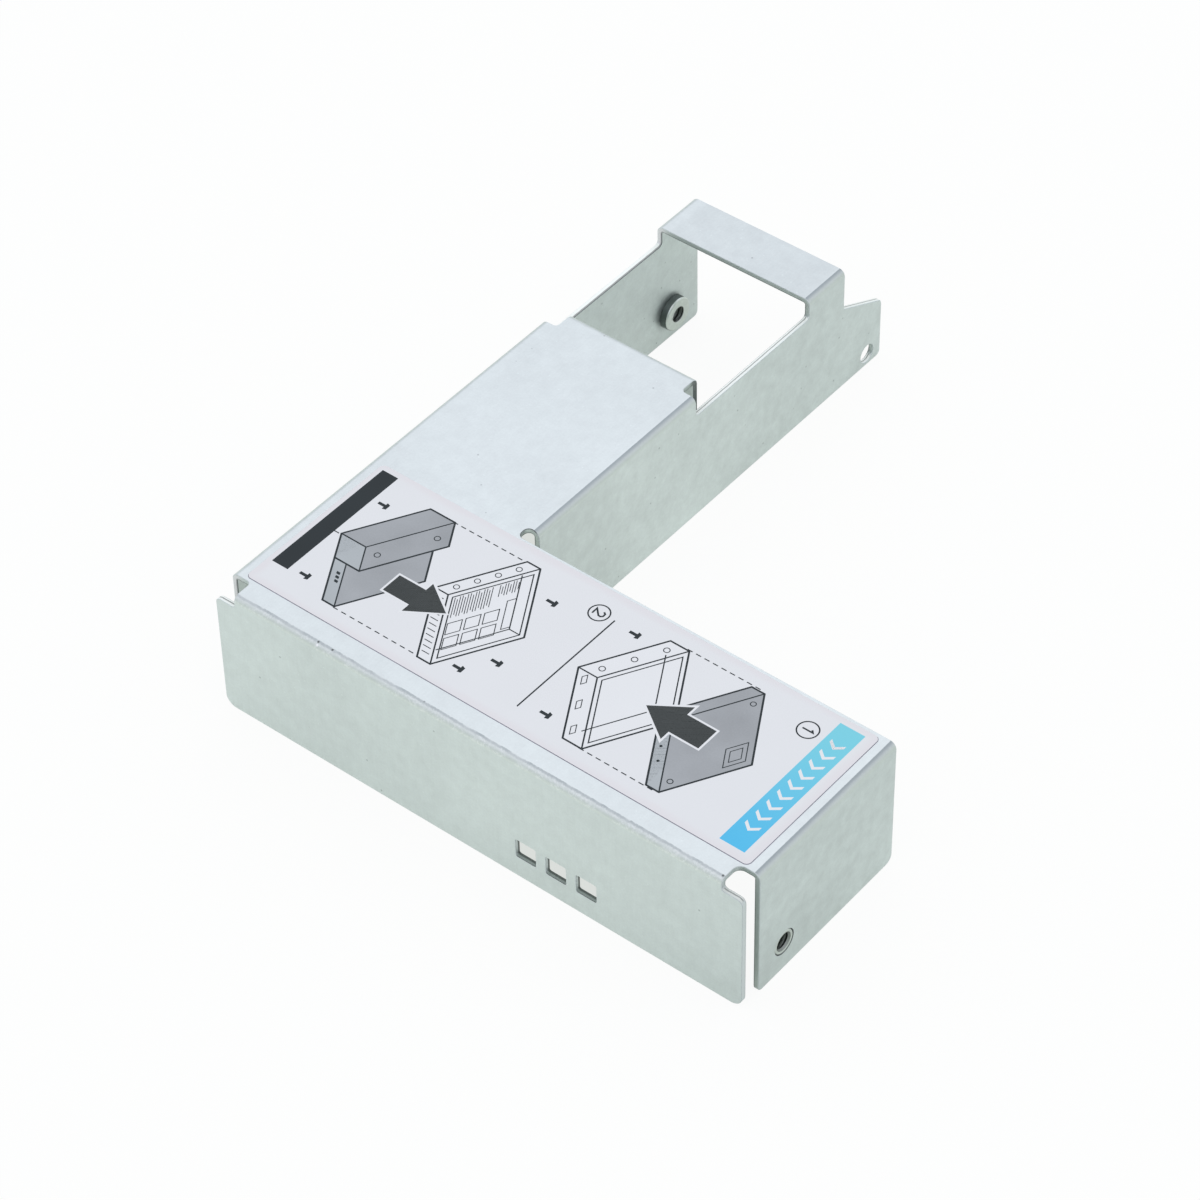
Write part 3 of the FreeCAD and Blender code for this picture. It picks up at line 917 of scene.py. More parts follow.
class SheetSizes(bpy.types.PropertyGroup):
    """Sizes and colours of the folded sheet"""

    sheet: length("Sheet", "Thickness of the steel sheet", 1.0)
    bend: length("Bend radius", "Inside radius of every fold", 0.3)
    width: length("Width", "Outer face of the long wall to outer face of the end wall", 101.6)
    height: length("Height", "Lower edges to the panel's upper face", 25.4)
    end_step: length("End step", "Front wall's right end to the end wall's outer face", 0.1)
    arm: length("Arm width", "Outer face of the long wall to outer face of the inner wall", 31.75)
    foot: length("Foot depth", "Front face to the panel's edge beside the small drive", 37.1)
    arm_end: length("Arm panel end", "Front face to the end of the arm's panel", 79.1)
    wall: length("Wall length", "Front face to the back edge of the long wall", 119.1)
    length: length("Length", "Front face to the end of the tail", 129.9)
    edge_round: length("Edge rounding", "Rounding of the sheet's cut edges", 0.1)
    notch_width: length("Corner notch width", "Width of the notches at the foot's front corners", 3.9)
    notch_depth: length("Corner notch depth", "Front face to the end of those notches", 4.0)
    end_drop: length("End drop", "Panel's upper face to the top of the front wall's ends", 2.2)
    slot_reach: length("Slot reach", "Length of the slot behind the foot, past the fold's start", 0.95)
    slot_width: length("Slot width", "Panel's edge to the inner wall, along that slot", 2.4)
    tab_reach: length("Tab reach", "End of the arm's panel to the tab's outer face", 4.1)
    tab_margin: length("Tab margin", "Arm's side to the tab's side", 3.0)
    tab_lift: length("Tab lift", "Lower edges to the tab's lower edge", 2.5)
    rail_drop: length("Rail drop", "Panel's upper face to the rails beside the arm's opening", 3.8)
    bridge: length("Bridge", "Depth of the bridge", 9.8)
    tail_root: length("Tail root", "Height of the tail where it leaves the bridge", 17.1)
    tail_tip: length("Tail tip", "Height of the tail at its end", 11.9)
    window_floor: length("Window floor", "Lower edges to the windows", 4.3)
    window_height: length("Window height", "Height of a window", 3.6)
    window_width: length("Window width", "Width of a window", 3.8)
    window_pitch: length("Window pitch", "Distance between windows", 5.8)
    first_window: length("First window", "Long wall's outer face to the first window", 59.0)
    nut_height: length("Nut height", "Lower edges to the nuts' middle", 5.65)
    nut_front: length("Front nuts", "Front face to the front nuts' middle", 10.1)
    nut_back: length("Back nut", "Front face to the back nut's middle", 111.7)
    nut_hole: length("Nut hole", "Radius of the holes that the nuts sit in", 2.23)
    drive_hole: length("Drive hole", "Radius of the holes for the drive's screws", 1.75)
    drive_hole_height: length("Drive hole height", "Lower edges to the middle of those holes", 2.4)
    drive_hole_back: length("Drive hole end", "Middle of the back one to the tail's end", 3.7)
    drive_hole_spacing: length("Drive hole spacing", "Distance between those holes", 76.6)
    driver_notch_width: length("Driver notch width", "Width of the notch in the long wall", 18.4)
    driver_notch_height: length("Driver notch height", "Height of that notch", 11.4)
    zinc: colour("Zinc", "Colour of the zinc coat", (0.7, 0.75, 0.735))
    # Colour of the painted shade line where a fold begins
    crease_shade: colour("Crease", "Colour of the line where a fold begins", (0.3, 0.345, 0.35))
    cut_steel: colour("Cut steel", "Colour of the cut edges", (0.52, 0.567, 0.545))
    # Colour of the right-facing cut edges, pale with painted light
    lit_side_edge: colour("Side edges", "Colour of the pale cut edges that face right", (0.742, 0.777, 0.779))
    # Colour of the cut edges that face up, nearly white with painted light
    lit_upper_edge: colour("Upper edges", "Colour of the cut edges that face up", (0.9, 0.95, 0.87))
    # Colour of the windows' sills, dark with painted shade
    sill_shade: colour("Sills", "Colour of the windows' sills", (0.37, 0.43, 0.385))
    # Colour of the dark rounds along the inner skin
    rim: colour("Rim", "Colour of the line of dirt along the inner skin", (0.2, 0.22, 0.215))
    worn_rim: colour("Worn rim", "Colour of the rounds along the outer skin", (0.6, 0.65, 0.635))
    # Colour of the rounds that face up, with painted highlight
    bright_rim: colour("Bright rim", "Colour of the rounds that face up", (0.79, 0.865, 0.84))


class NutSizes(bpy.types.PropertyGroup):
    """Sizes and colours of the clinch nuts"""

    shank: length("Shank radius", "Radius of the shank in the sheet", 2.17)
    flange: length("Flange radius", "Radius of the flange inside the wall", 3.15)
    end: length("Depth", "Outer face of the wall to the flange's end", 2.6)
    crest: length("Bore radius", "Inner radius of the thread", 1.39)
    root: length("Root radius", "Outer radius of the thread", 1.54)
    mouth: length("Mouth radius", "Radius of the lead-in at the wall's outer face", 1.7)
    inner_mouth: length("Inner mouth radius", "Radius of the lead-in at the flange's end", 1.5)
    pitch: length("Pitch", "Pitch of the thread", 0.794)
    plating: colour("Plating", "Colour of the nuts' faces", (0.63, 0.67, 0.63))
    # Colour of the flange's side, dark with painted shade
    side: colour("Side", "Colour of the flange's turned side", (0.13, 0.15, 0.14))
    # Colour of the thread in the bore, dark with painted shade
    bore: colour("Bore", "Colour of the oily thread", (0.035, 0.042, 0.036))
    # Colour of the thread's crests, dark with painted shade, a little lighter than the thread's root
    crests: colour("Crests", "Colour of the thread's rubbed crests", (0.15, 0.165, 0.15))


class LabelSizes(bpy.types.PropertyGroup):
    """Sizes and colours of the label and its printing"""

    left: length("Left", "Long wall's outer face to the label", 2.3)
    front: length("Front", "Front face to the label", 4.45)
    long: length("Length", "Length of the label across the bay", 96.85)
    deep: length("Depth", "Depth of the label", 32.15)
    film_height: length("Film height", "Panel to the film's upper face", 0.084)
    line: length("Line", "Width of a printed line", 0.26)
    film: colour("Film", "Colour of the label's film", (0.762, 0.778, 0.757))
    # Colour of the film's front and right side faces, dark with painted shade
    film_edge: colour("Film edge", "Colour of the glue line along the film", (0.24, 0.23, 0.27))
    dark: colour("Dark ink", "Colour of the bar and the lines", (0.016, 0.024, 0.026))
    stone: colour("Arrow ink", "Colour of the arrows", (0.05, 0.058, 0.055))
    grey: colour("Grey ink", "Colour of the filled bodies in the drawings", (0.36, 0.38, 0.38))
    cyan: colour("Cyan ink", "Colour of the title bar", (0.085, 0.51, 0.78))


class StageSizes(bpy.types.PropertyGroup):
    """Where the camera stands"""

    azimuth: angle("Azimuth", "Camera's turn round the bracket", 39.659)
    elevation: angle("Elevation", "Camera's angle over the floor", 44.366)
    roll: angle("Roll", "Camera's turn round its own axis", -1.277)
    lens: FloatProperty(name="Lens", description="Focal length", default=127.127, unit="CAMERA")
    distance: length("Distance", "Camera to the point that it turns round", 663.683)


# Operators


class BAYBRACKET_OT_sheet(bpy.types.Operator):
    """Cut the blank, fold it and give it its edges"""

    bl_idname = "baybracket.sheet"
    bl_label = "Folded sheet"

    def execute(self, context):
        group = context.scene.baybracket_sheet
        s = sheet_sizes(group)
        folds = sheet_folds(s)
        blank = flat_blank(blank_outlines(s, folds), s.edge_round)
        surface = fold_blank(blank, folds, "sheet_middle")
        finishes = [coated_skin(group), rubbed_rim(group), cut_edge(group)]
        mesh = thickened(surface, "folded_sheet", s.sheet, s.edge_round, finishes)
        new_piece("folded_sheet", mesh, [], ["bracket"])
        return {"FINISHED"}


def sheet_sizes(group):
    """The sheet's sizes in millimetres, with those that follow from others."""
    s = sizes_in_mm(group)
    s.front_end = s.width - s.end_step
    s.inner_front = s.foot + s.slot_width
    s.tab_face = s.arm_end + s.tab_reach
    s.bridge_front = s.wall - s.bridge
    back_screw = s.length - s.drive_hole_back
    s.drive_holes = (back_screw - s.drive_hole_spacing, back_screw)
    return s


class BAYBRACKET_OT_nuts(bpy.types.Operator):
    """Turn the three clinch nuts and cut their threads"""

    bl_idname = "baybracket.nuts"
    bl_label = "Clinch nuts"

    def execute(self, context):
        group = context.scene.baybracket_nuts
        sheet = sizes_in_mm(context.scene.baybracket_sheet)
        # The flange's side, the thread, its crests and the lead-in are darkened by painted shade
        finishes = [
            turned_steel("plated_nut", group.plating, 0.32),
            turned_steel("nut_side", group.side, 0.4, below=1.9),
            turned_steel("oily_thread", group.bore, 0.5),
            turned_steel("thread_crest", group.crests, 0.35),
            turned_steel("nut_lead_in", scaled(group.plating, 0.42), 0.4),
        ]
        n = sizes_in_mm(group)
        profile = nut_profile(n, sheet.sheet)
        nuts = (("nut_left_front", 1), ("nut_left_back", 1), ("nut_right_front", -1))
        for (node, way), spot in zip(nuts, nut_spots(sheet)):
            body = turned_body(profile, node, spot, way)
            ridge = thread_ridge(n, node, spot, way, finishes[CREST])
            mesh = together(body, ridge, node)
            new_piece(node + "_turned", mesh, finishes, [node])
        return {"FINISHED"}


def nut_profile(n, sheet):
    """A nut's profile, round and back to its start, as (depth from the wall's outer face, radius,
    finish from there to the next)."""
    end, flange, edge, edge_steps = n.end, n.flange, 0.3, 4
    profile = [
        (0.08, n.mouth, PLATED),
        (0.04, n.mouth + 0.08, PLATED),
        (0.04, n.shank - 0.1, PLATED),
        (0.12, n.shank, SIDE),
        (sheet, n.shank, SIDE),
        (sheet, flange - 0.12, SIDE),
        (sheet + 0.1, flange, SIDE),
    ]
    for step in range(edge_steps + 1):
        turn = math.pi / 2 * step / edge_steps
        depth = end - edge + edge * math.sin(turn)
        profile.append((depth, flange - edge + edge * math.cos(turn), PLATED))
    return profile + [
        (end, n.inner_mouth + 0.06, PLATED),
        (end - 0.04, n.inner_mouth, LEAD_IN),
        (end - 0.14, n.crest + 0.04, THREAD),
        (end - 0.18, n.root, THREAD),
        (0.46, n.root, THREAD),
        (0.42, n.crest + 0.04, LEAD_IN),
    ]


def turned_body(profile, name, spot, way):
    """The profile turned round an axis that goes into the wall from a spot. way is 1 or -1 along X."""
    wall, run, height = spot
    bm = bmesh.new()
    rings = []
    for depth, radius, _ in profile:
        points = ring((run, height), radius, NUT_SIDES)
        rings.append([bm.verts.new(world(wall + way * depth, *point)) for point in points])
    for number, (_, _, finish) in enumerate(profile):
        for face in join_loops(bm, rings[number], rings[(number + 1) % len(rings)]):
            face.material_index = finish
    return mesh_of(bm, name + "_body", smooth_below=35)


def thread_ridge(n, name, spot, way, finish):
    """The mesh of the ridge that winds down a nut's bore, and leaves its two ends free."""
    free_start, free_end = 0.5, 0.3
    wall, run, height = spot
    winder = scene_object(name + "_thread", bpy.data.meshes.new(name + "_thread"))
    wind = winder.modifiers.new("thread", "NODES")
    wind.node_group = thread_tree()
    values = {
        "Root radius": n.root * MM,
        "Depth": (n.root - n.crest) * MM,
        "Pitch": n.pitch * MM,
        "Length": (n.end - free_start - free_end) * MM,
        "Start": world(wall + way * free_start, run, height),
        "Turn": (0, math.pi / 2 * way, 0),
        "Finish": finish,
    }
    set_inputs(wind, values)
    ridge = baked(winder, name + "_ridge")
    ridge.polygons.foreach_set("material_index", [CREST] * len(ridge.polygons))
    return ridge


def together(first, second, name):
    """One mesh of two, which keep their faces' material numbers."""
    both = bmesh.new()
    both.from_mesh(first)
    both.from_mesh(second)
    return plain_mesh(both, name)


def set_inputs(modifier, values):
    """Gives a Geometry Nodes modifier its values, by the identifier of each named input."""
    for item in modifier.node_group.interface.items_tree:
        if item.item_type == "SOCKET" and item.in_out == "INPUT" and item.name in values:
            modifier[item.identifier] = values[item.name]


class Tree:
    """A Geometry Nodes tree under construction."""

    def __init__(self, name, inputs):
        self.group = bpy.data.node_groups.new(name, "GeometryNodeTree")
        self.group.interface.new_socket("Geometry", in_out="INPUT", socket_type="NodeSocketGeometry")
        for label, kind in inputs.items():
            self.group.interface.new_socket(label, in_out="INPUT", socket_type="NodeSocket" + kind)
        self.group.interface.new_socket("Geometry", in_out="OUTPUT", socket_type="NodeSocketGeometry")
        self.inputs = self.group.nodes.new("NodeGroupInput").outputs

    def add(self, kind, settings=None, inputs=None):
        """Adds a node and gives its first output."""
        return new_node(self.group, kind, settings, inputs).outputs[0]

    def maths(self, operation, first, second):
        return self.add("ShaderNodeMath", {"operation": operation}, {0: first, 1: second})

    def finish(self, geometry, material):
        """Ends the tree in Realize Instances and Set Material."""
        real = self.add("GeometryNodeRealizeInstances", {}, {"Geometry": geometry})
        done = self.add("GeometryNodeSetMaterial", {}, {"Geometry": real, "Material": material})
        self.group.links.new(done, self.group.nodes.new("NodeGroupOutput").inputs[0])
        return self.group


def thread_tree():
    """A ridge that winds along a bore."""
    found = bpy.data.node_groups.get("screw_thread")
    if found:
        return found
    inputs = {
        "Root radius": "Float",
        "Depth": "Float",
        "Pitch": "Float",
        "Length": "Float",
        "Start": "Vector",
        "Turn": "Rotation",
        "Finish": "Material",
    }
    tree = Tree("screw_thread", inputs)
    given = tree.inputs
    turns = tree.maths("DIVIDE", given["Length"], given["Pitch"])
    spiral = tree.add(
        "GeometryNodeCurveSpiral",
        {},
        {
            "Resolution": 48,
            "Rotations": turns,
            "Start Radius": given["Root radius"],
            "End Radius": given["Root radius"],
            "Height": given["Length"],
        },
    )
    upright = tree.add("GeometryNodeSetCurveNormal", {"mode": "Z_UP"}, {"Curve": spiral})
    reach = tree.maths("MULTIPLY", given["Depth"], 2.0)
    thick = tree.maths("MULTIPLY", given["Pitch"], 0.46)
    ridge = tree.add(
        "GeometryNodeCurvePrimitiveQuadrilateral",
        {"mode": "KITE"},
        {"Width": reach, "Bottom Height": thick, "Top Height": thick},
    )
    wound = tree.add(
        "GeometryNodeCurveToMesh", {}, {"Curve": upright, "Profile Curve": ridge, "Fill Caps": True}
    )
    placed = tree.add(
        "GeometryNodeTransform",
        {},
        {"Geometry": wound, "Translation": given["Start"], "Rotation": given["Turn"]},
    )
    return tree.finish(placed, given["Finish"])


# The label and its printing

LABEL_TURN = math.radians(-0.15)
RIM_SLANT = 0.1
LABEL_CORNER = 1.0

# Widths of lines in the drawings, in millimetres
MARK_LINE = 0.16
PATCH_LINE = 0.15
SMALL_PATCH_LINE = 0.14
RIB_LINE = 0.13
NUMERAL_LINE = 0.3
CIRCLE_LINE = 0.24

# Strokes of the step numbers, from the middle of their circles
ONE = ((-0.35, 0.55), (0.08, 0.95), (0.08, -0.95))
TWO = ((-0.55, 0.5), (-0.3, 0.9), (0.25, 0.93), (0.55, 0.6), (0.5, 0.2), (-0.6, -0.9), (0.65, -0.9))


class Paper:
    """The label's own plane. p runs from its left edge to the right and q up, as it is read."""

    def __init__(self, context):
        self.sizes = sizes_in_mm(context.scene.baybracket_label)
        self.panel = sizes_in_mm(context.scene.baybracket_sheet).height
        self.corner = Vector((self.sizes.left, self.sizes.front + self.sizes.deep))
        self.middle = self.corner + Vector((self.sizes.long, -self.sizes.deep)) / 2

    def at(self, p, q, height):
        """A point of the label, at a height in millimetres over the panel, in the frame."""
        flat = self.corner + Vector((q, -p)) - self.middle
        return world(*(turned(flat, LABEL_TURN) + self.middle), self.panel + height)


class Ink:
    """One colour of the printing: thin closed bodies on the film, each a little higher than the last."""

    FOOT = -0.01
    FIRST_TOP = 0.002
    STEP = 0.00008
    level = 0

    def __init__(self, paper, name, material):
        self.paper = paper
        self.name = name
        self.material = material
        self.film = paper.sizes.film_height
        self.width = paper.sizes.line
        self.bm = bmesh.new()

    def heights(self):
        """Foot inside the film and top just over it. What is printed later lies higher."""
        Ink.level += 1
        return self.film + self.FOOT, self.film + self.FIRST_TOP + Ink.level * self.STEP

    def area(self, corners):
        """A filled outline."""
        low, high = self.heights()
        foot = [self.bm.verts.new(self.paper.at(p, q, low)) for p, q in corners]
        head = [self.bm.verts.new(self.paper.at(p, q, high)) for p, q in corners]
        close_body(self.bm, foot, head)

    def line(self, points, width, closed=False):
        """A line of even width through the points."""
        points = [Vector(p) for p in points]
        sides = []
        for n, here in enumerate(points):
            before = points[n - 1] if closed or n else None
            after = points[(n + 1) % len(points)] if closed or n + 1 < len(points) else None
            ways = [(b - a).normalized() for a, b in ((before, here), (here, after)) if a and b]
            along = sum(ways, Vector((0, 0))).normalized()
            across = Vector((-along.y, along.x))
            reach = width / 2 / max(0.4, along.dot(ways[0]))
            sides.append((here + across * reach, here - across * reach))
        low, high = self.heights()
        section = ((0, high), (1, high), (1, low), (0, low))
        rows = [[self.bm.verts.new(self.paper.at(*side[k], h)) for k, h in section] for side in sides]
        for n in range(0 if closed else 1, len(rows)):
            for k in range(len(section)):
                self.bm.faces.new((rows[n - 1][k], rows[n - 1][k - 1], rows[n][k - 1], rows[n][k]))
        if not closed:
            self.bm.faces.new(rows[0])
            self.bm.faces.new(rows[-1][::-1])

    def done(self):
        new_piece(self.name, mesh_of(self.bm, self.name), [self.material])


def close_body(bm, foot, head):
    """A flat body's faces: its top, its bottom and its sides."""
    bm.faces.new(head)
    bm.faces.new(foot[::-1])
    join_loops(bm, foot, head)


def label_inks(paper, group):
    """An Ink for each colour, by name."""
    looks = {
        "dark": ink("dark_ink", group.dark, 0.12),
        "stone": ink("stone_ink", group.stone, 0.12),
        "grey": ink("grey_ink", group.grey, 0.12),
        "shade": ink("shade_ink", scaled(group.grey, 1.2, 1.23, 1.22)),
        "cyan": ink("cyan_ink", group.cyan, 0.02, far=(0.2, 0.64, 0.72)),
        "pale": ink("pale_ink", scaled(group.film, 1.04), 0.01),
    }
    inks = {name: Ink(paper, "print_" + name, look) for name, look in looks.items()}
    return SimpleNamespace(**inks)


class Box:
    """A box of a drawing, seen from a corner: a runs right and up, b left and up, c straight up."""

    ACROSS = 0.866
    RISE = 0.5

    def __init__(self, p, q):
        self.p = p
        self.q = q

    def at(self, a, b, c=0.0):
        return (self.p + (a - b) * self.ACROSS, self.q + (a + b) * self.RISE + c)

    def outline(self, a, b, c):
        """The outline of a body of these sizes, as it is seen."""
        corners = ((0, 0, 0), (a, 0, 0), (a, 0, c), (a, b, c), (0, b, c), (0, b, 0))
        return [self.at(*corner) for corner in corners]


def drawn_edges(dark, box, a, b, c, outer, upper):
    """The edges of a body of a drawing. outer and upper multiply the width of the outline and of the
    upper edges."""
    dark.line(box.outline(a, b, c), dark.width * outer, closed=True)
    dark.line([box.at(0, b, c), box.at(0, 0, c), box.at(a, 0, c)], dark.width * upper)
    dark.line([box.at(0, 0, c), box.at(0, 0)], dark.width)


def drawn_slab(inks, box, a, b, c):
    """A solid body of a drawing: grey faces with dark edges."""
    inks.grey.area(box.outline(a, b, c))
    inks.shade.area([box.at(0, 0), box.at(a, 0), box.at(a, 0, c), box.at(0, 0, c)])
    drawn_edges(inks.dark, box, a, b, c, outer=1.25, upper=0.9)


def drawn_tray(inks, box, a, b, wall):
    """An open tray of a drawing, in outline only."""
    dark = inks.dark
    rim, floor, floor_start = 0.9, 0.6, 2.3
    inks.pale.area(box.outline(a, b, wall))
    drawn_edges(dark, box, a, b, wall, outer=1.2, upper=1)
    thin = dark.width * 0.8
    inner = rectangle(rim, rim, a - rim, b - rim)
    dark.line([box.at(*point, wall) for point in inner], thin, closed=True)
    dark.line([box.at(a - rim, b - rim, wall), box.at(a - rim, b - rim, floor)], thin)
    floor_line = ((floor_start, b - rim), (a - rim, b - rim), (a - rim, floor_start))
    dark.line([box.at(*point, floor) for point in floor_line], thin)


def drawn_patch(inks, box, low, high, lift, width=PATCH_LINE):
    """The outline of a flat patch of a drawing, from corner low to corner high."""
    points = [box.at(*point, lift) for point in rectangle(*low, *high)]
    inks.dark.line(points, width, closed=True)


def drawn_ribs(inks, box, low, high, lift, pitch):
    """Fine ribs of a drawing that fill a patch from corner low to corner high. Every third is shorter."""
    count = int((high[1] - low[1]) / pitch)
    for n in range(count + 1):
        b = low[1] + n * pitch
        inset = 0.5 if n % 3 == 1 else 0.0
        inks.dark.line([box.at(low[0] + inset, b, lift), box.at(high[0] - inset, b, lift)], RIB_LINE)


def drawn_arrow(inks, p, q, reach, span, way):
    """A block arrow with a pale rim. way is 1 for up and -1 for down."""
    stem = span * 0.27
    head = reach * 0.52

    def shape(grow):
        neck = q + way * (reach - head - grow)
        half = span / 2 + grow * 2.2
        return [
            (p - stem - grow, q - way * grow),
            (p + stem + grow, q - way * grow),
            (p + stem + grow, neck),
            (p + half, neck),
            (p, q + way * (reach + grow * 1.5)),
            (p - half, neck),
            (p - stem - grow, neck),
        ]

    inks.pale.area(shape(0.35))
    inks.stone.area(shape(0))


def drawn_screw(inks, p, q):
    """A small screw of a drawing."""
    inks.dark.area([(p - 0.75, q), (p + 0.75, q), (p + 0.55, q + 0.65), (p - 0.55, q + 0.65)])
    inks.dark.area(rectangle(p - 0.28, q - 1.3, p + 0.28, q))


def drawn_hole(inks, spot, radius, sides, width=MARK_LINE):
    """A small round hole of a drawing."""
    inks.dark.line(ring(spot, radius, sides), width, closed=True)


def circled(inks, p, q, stroke):
    """A numeral in a circle."""
    inks.dark.line(ring((p, q), 1.72, 40), CIRCLE_LINE, closed=True)
    inks.dark.line([(p + dp, q + dq) for dp, dq in stroke], NUMERAL_LINE)


def dash_tree():
    """Turns lines into rows of short dashes that follow them."""
    tree = Tree("dashes", {"Pitch": "Float", "Dash": "Vector", "Ink": "Material"})
    given = tree.inputs
    curve = tree.add("GeometryNodeMeshToCurve", {}, {"Mesh": given["Geometry"]})
    spaced = tree.add(
        "GeometryNodeResampleCurve", {"mode": "LENGTH"}, {"Curve": curve, "Length": given["Pitch"]}
    )
    dash = tree.add("GeometryNodeMeshCube", {}, {"Size": given["Dash"]})
    along = tree.add("GeometryNodeInputTangent")
    aimed = tree.add("FunctionNodeAlignRotationToVector", {"axis": "X"}, {"Vector": along})
    placed = tree.add(
        "GeometryNodeInstanceOnPoints", {}, {"Points": spaced, "Instance": dash, "Rotation": aimed}
    )
    return tree.finish(placed, given["Ink"])


def dashed_lines(name, paper, lines, material):
    """A piece of dashes along lines between two points of the label. The pitch is just under an even
    part of some lines, so that rounding never leaves out their last dash."""
    pitch, dash = 1.599, (0.95, 0.2, 0.006)
    lift = paper.sizes.film_height + 0.001
    mesh = bpy.data.meshes.new(name + "_lines")
    corners = [paper.at(*point, lift) for line in lines for point in line]
    mesh.from_pydata(corners, [(n, n + 1) for n in range(0, len(corners), 2)], [])
    source = scene_object(name + "_lines", mesh)
    rows = source.modifiers.new("dashes", "NODES")
    rows.node_group = dash_tree()
    set_inputs(rows, {"Pitch": pitch * MM, "Dash": [v * MM for v in dash], "Ink": material})
    new_piece(name, baked(source, name), [])


class BAYBRACKET_OT_label(bpy.types.Operator):
    """Cut the label's film and lay it on the foot"""

    bl_idname = "baybracket.label"
    bl_label = "Label film"

    def execute(self, context):
        group = context.scene.baybracket_label
        paper = Paper(context)
        bm = bmesh.new()
        foot, head = (
            [bm.verts.new(paper.at(*point, height)) for point in self.outline(paper, inset)]
            for inset, height in ((0.0, 0.0), (RIM_SLANT, paper.sizes.film_height))
        )
        close_body(bm, foot, head)
        mesh = mesh_of(bm, "label_film")
        # Painted shade on the film's front and right side faces
        for face in mesh.polygons:
            front_or_right = face.normal.y < -0.3 or face.normal.x > 0.3
            face.material_index = EDGE_SHADE if front_or_right else FILM
        finishes = [label_film(group), ink("film_edge", group.film_edge, 0.2)]
        new_piece("label_film", mesh, finishes, ["instruction_label"])
        return {"FINISHED"}

    def outline(self, paper, inset):
        """The film's outline with round corners, a little inside its full size."""
        wide, tall = paper.sizes.deep - inset, paper.sizes.long - inset
        corners = rectangle(inset, inset, wide, tall)
        return rounded([(*corner, LABEL_CORNER - inset) for corner in corners])


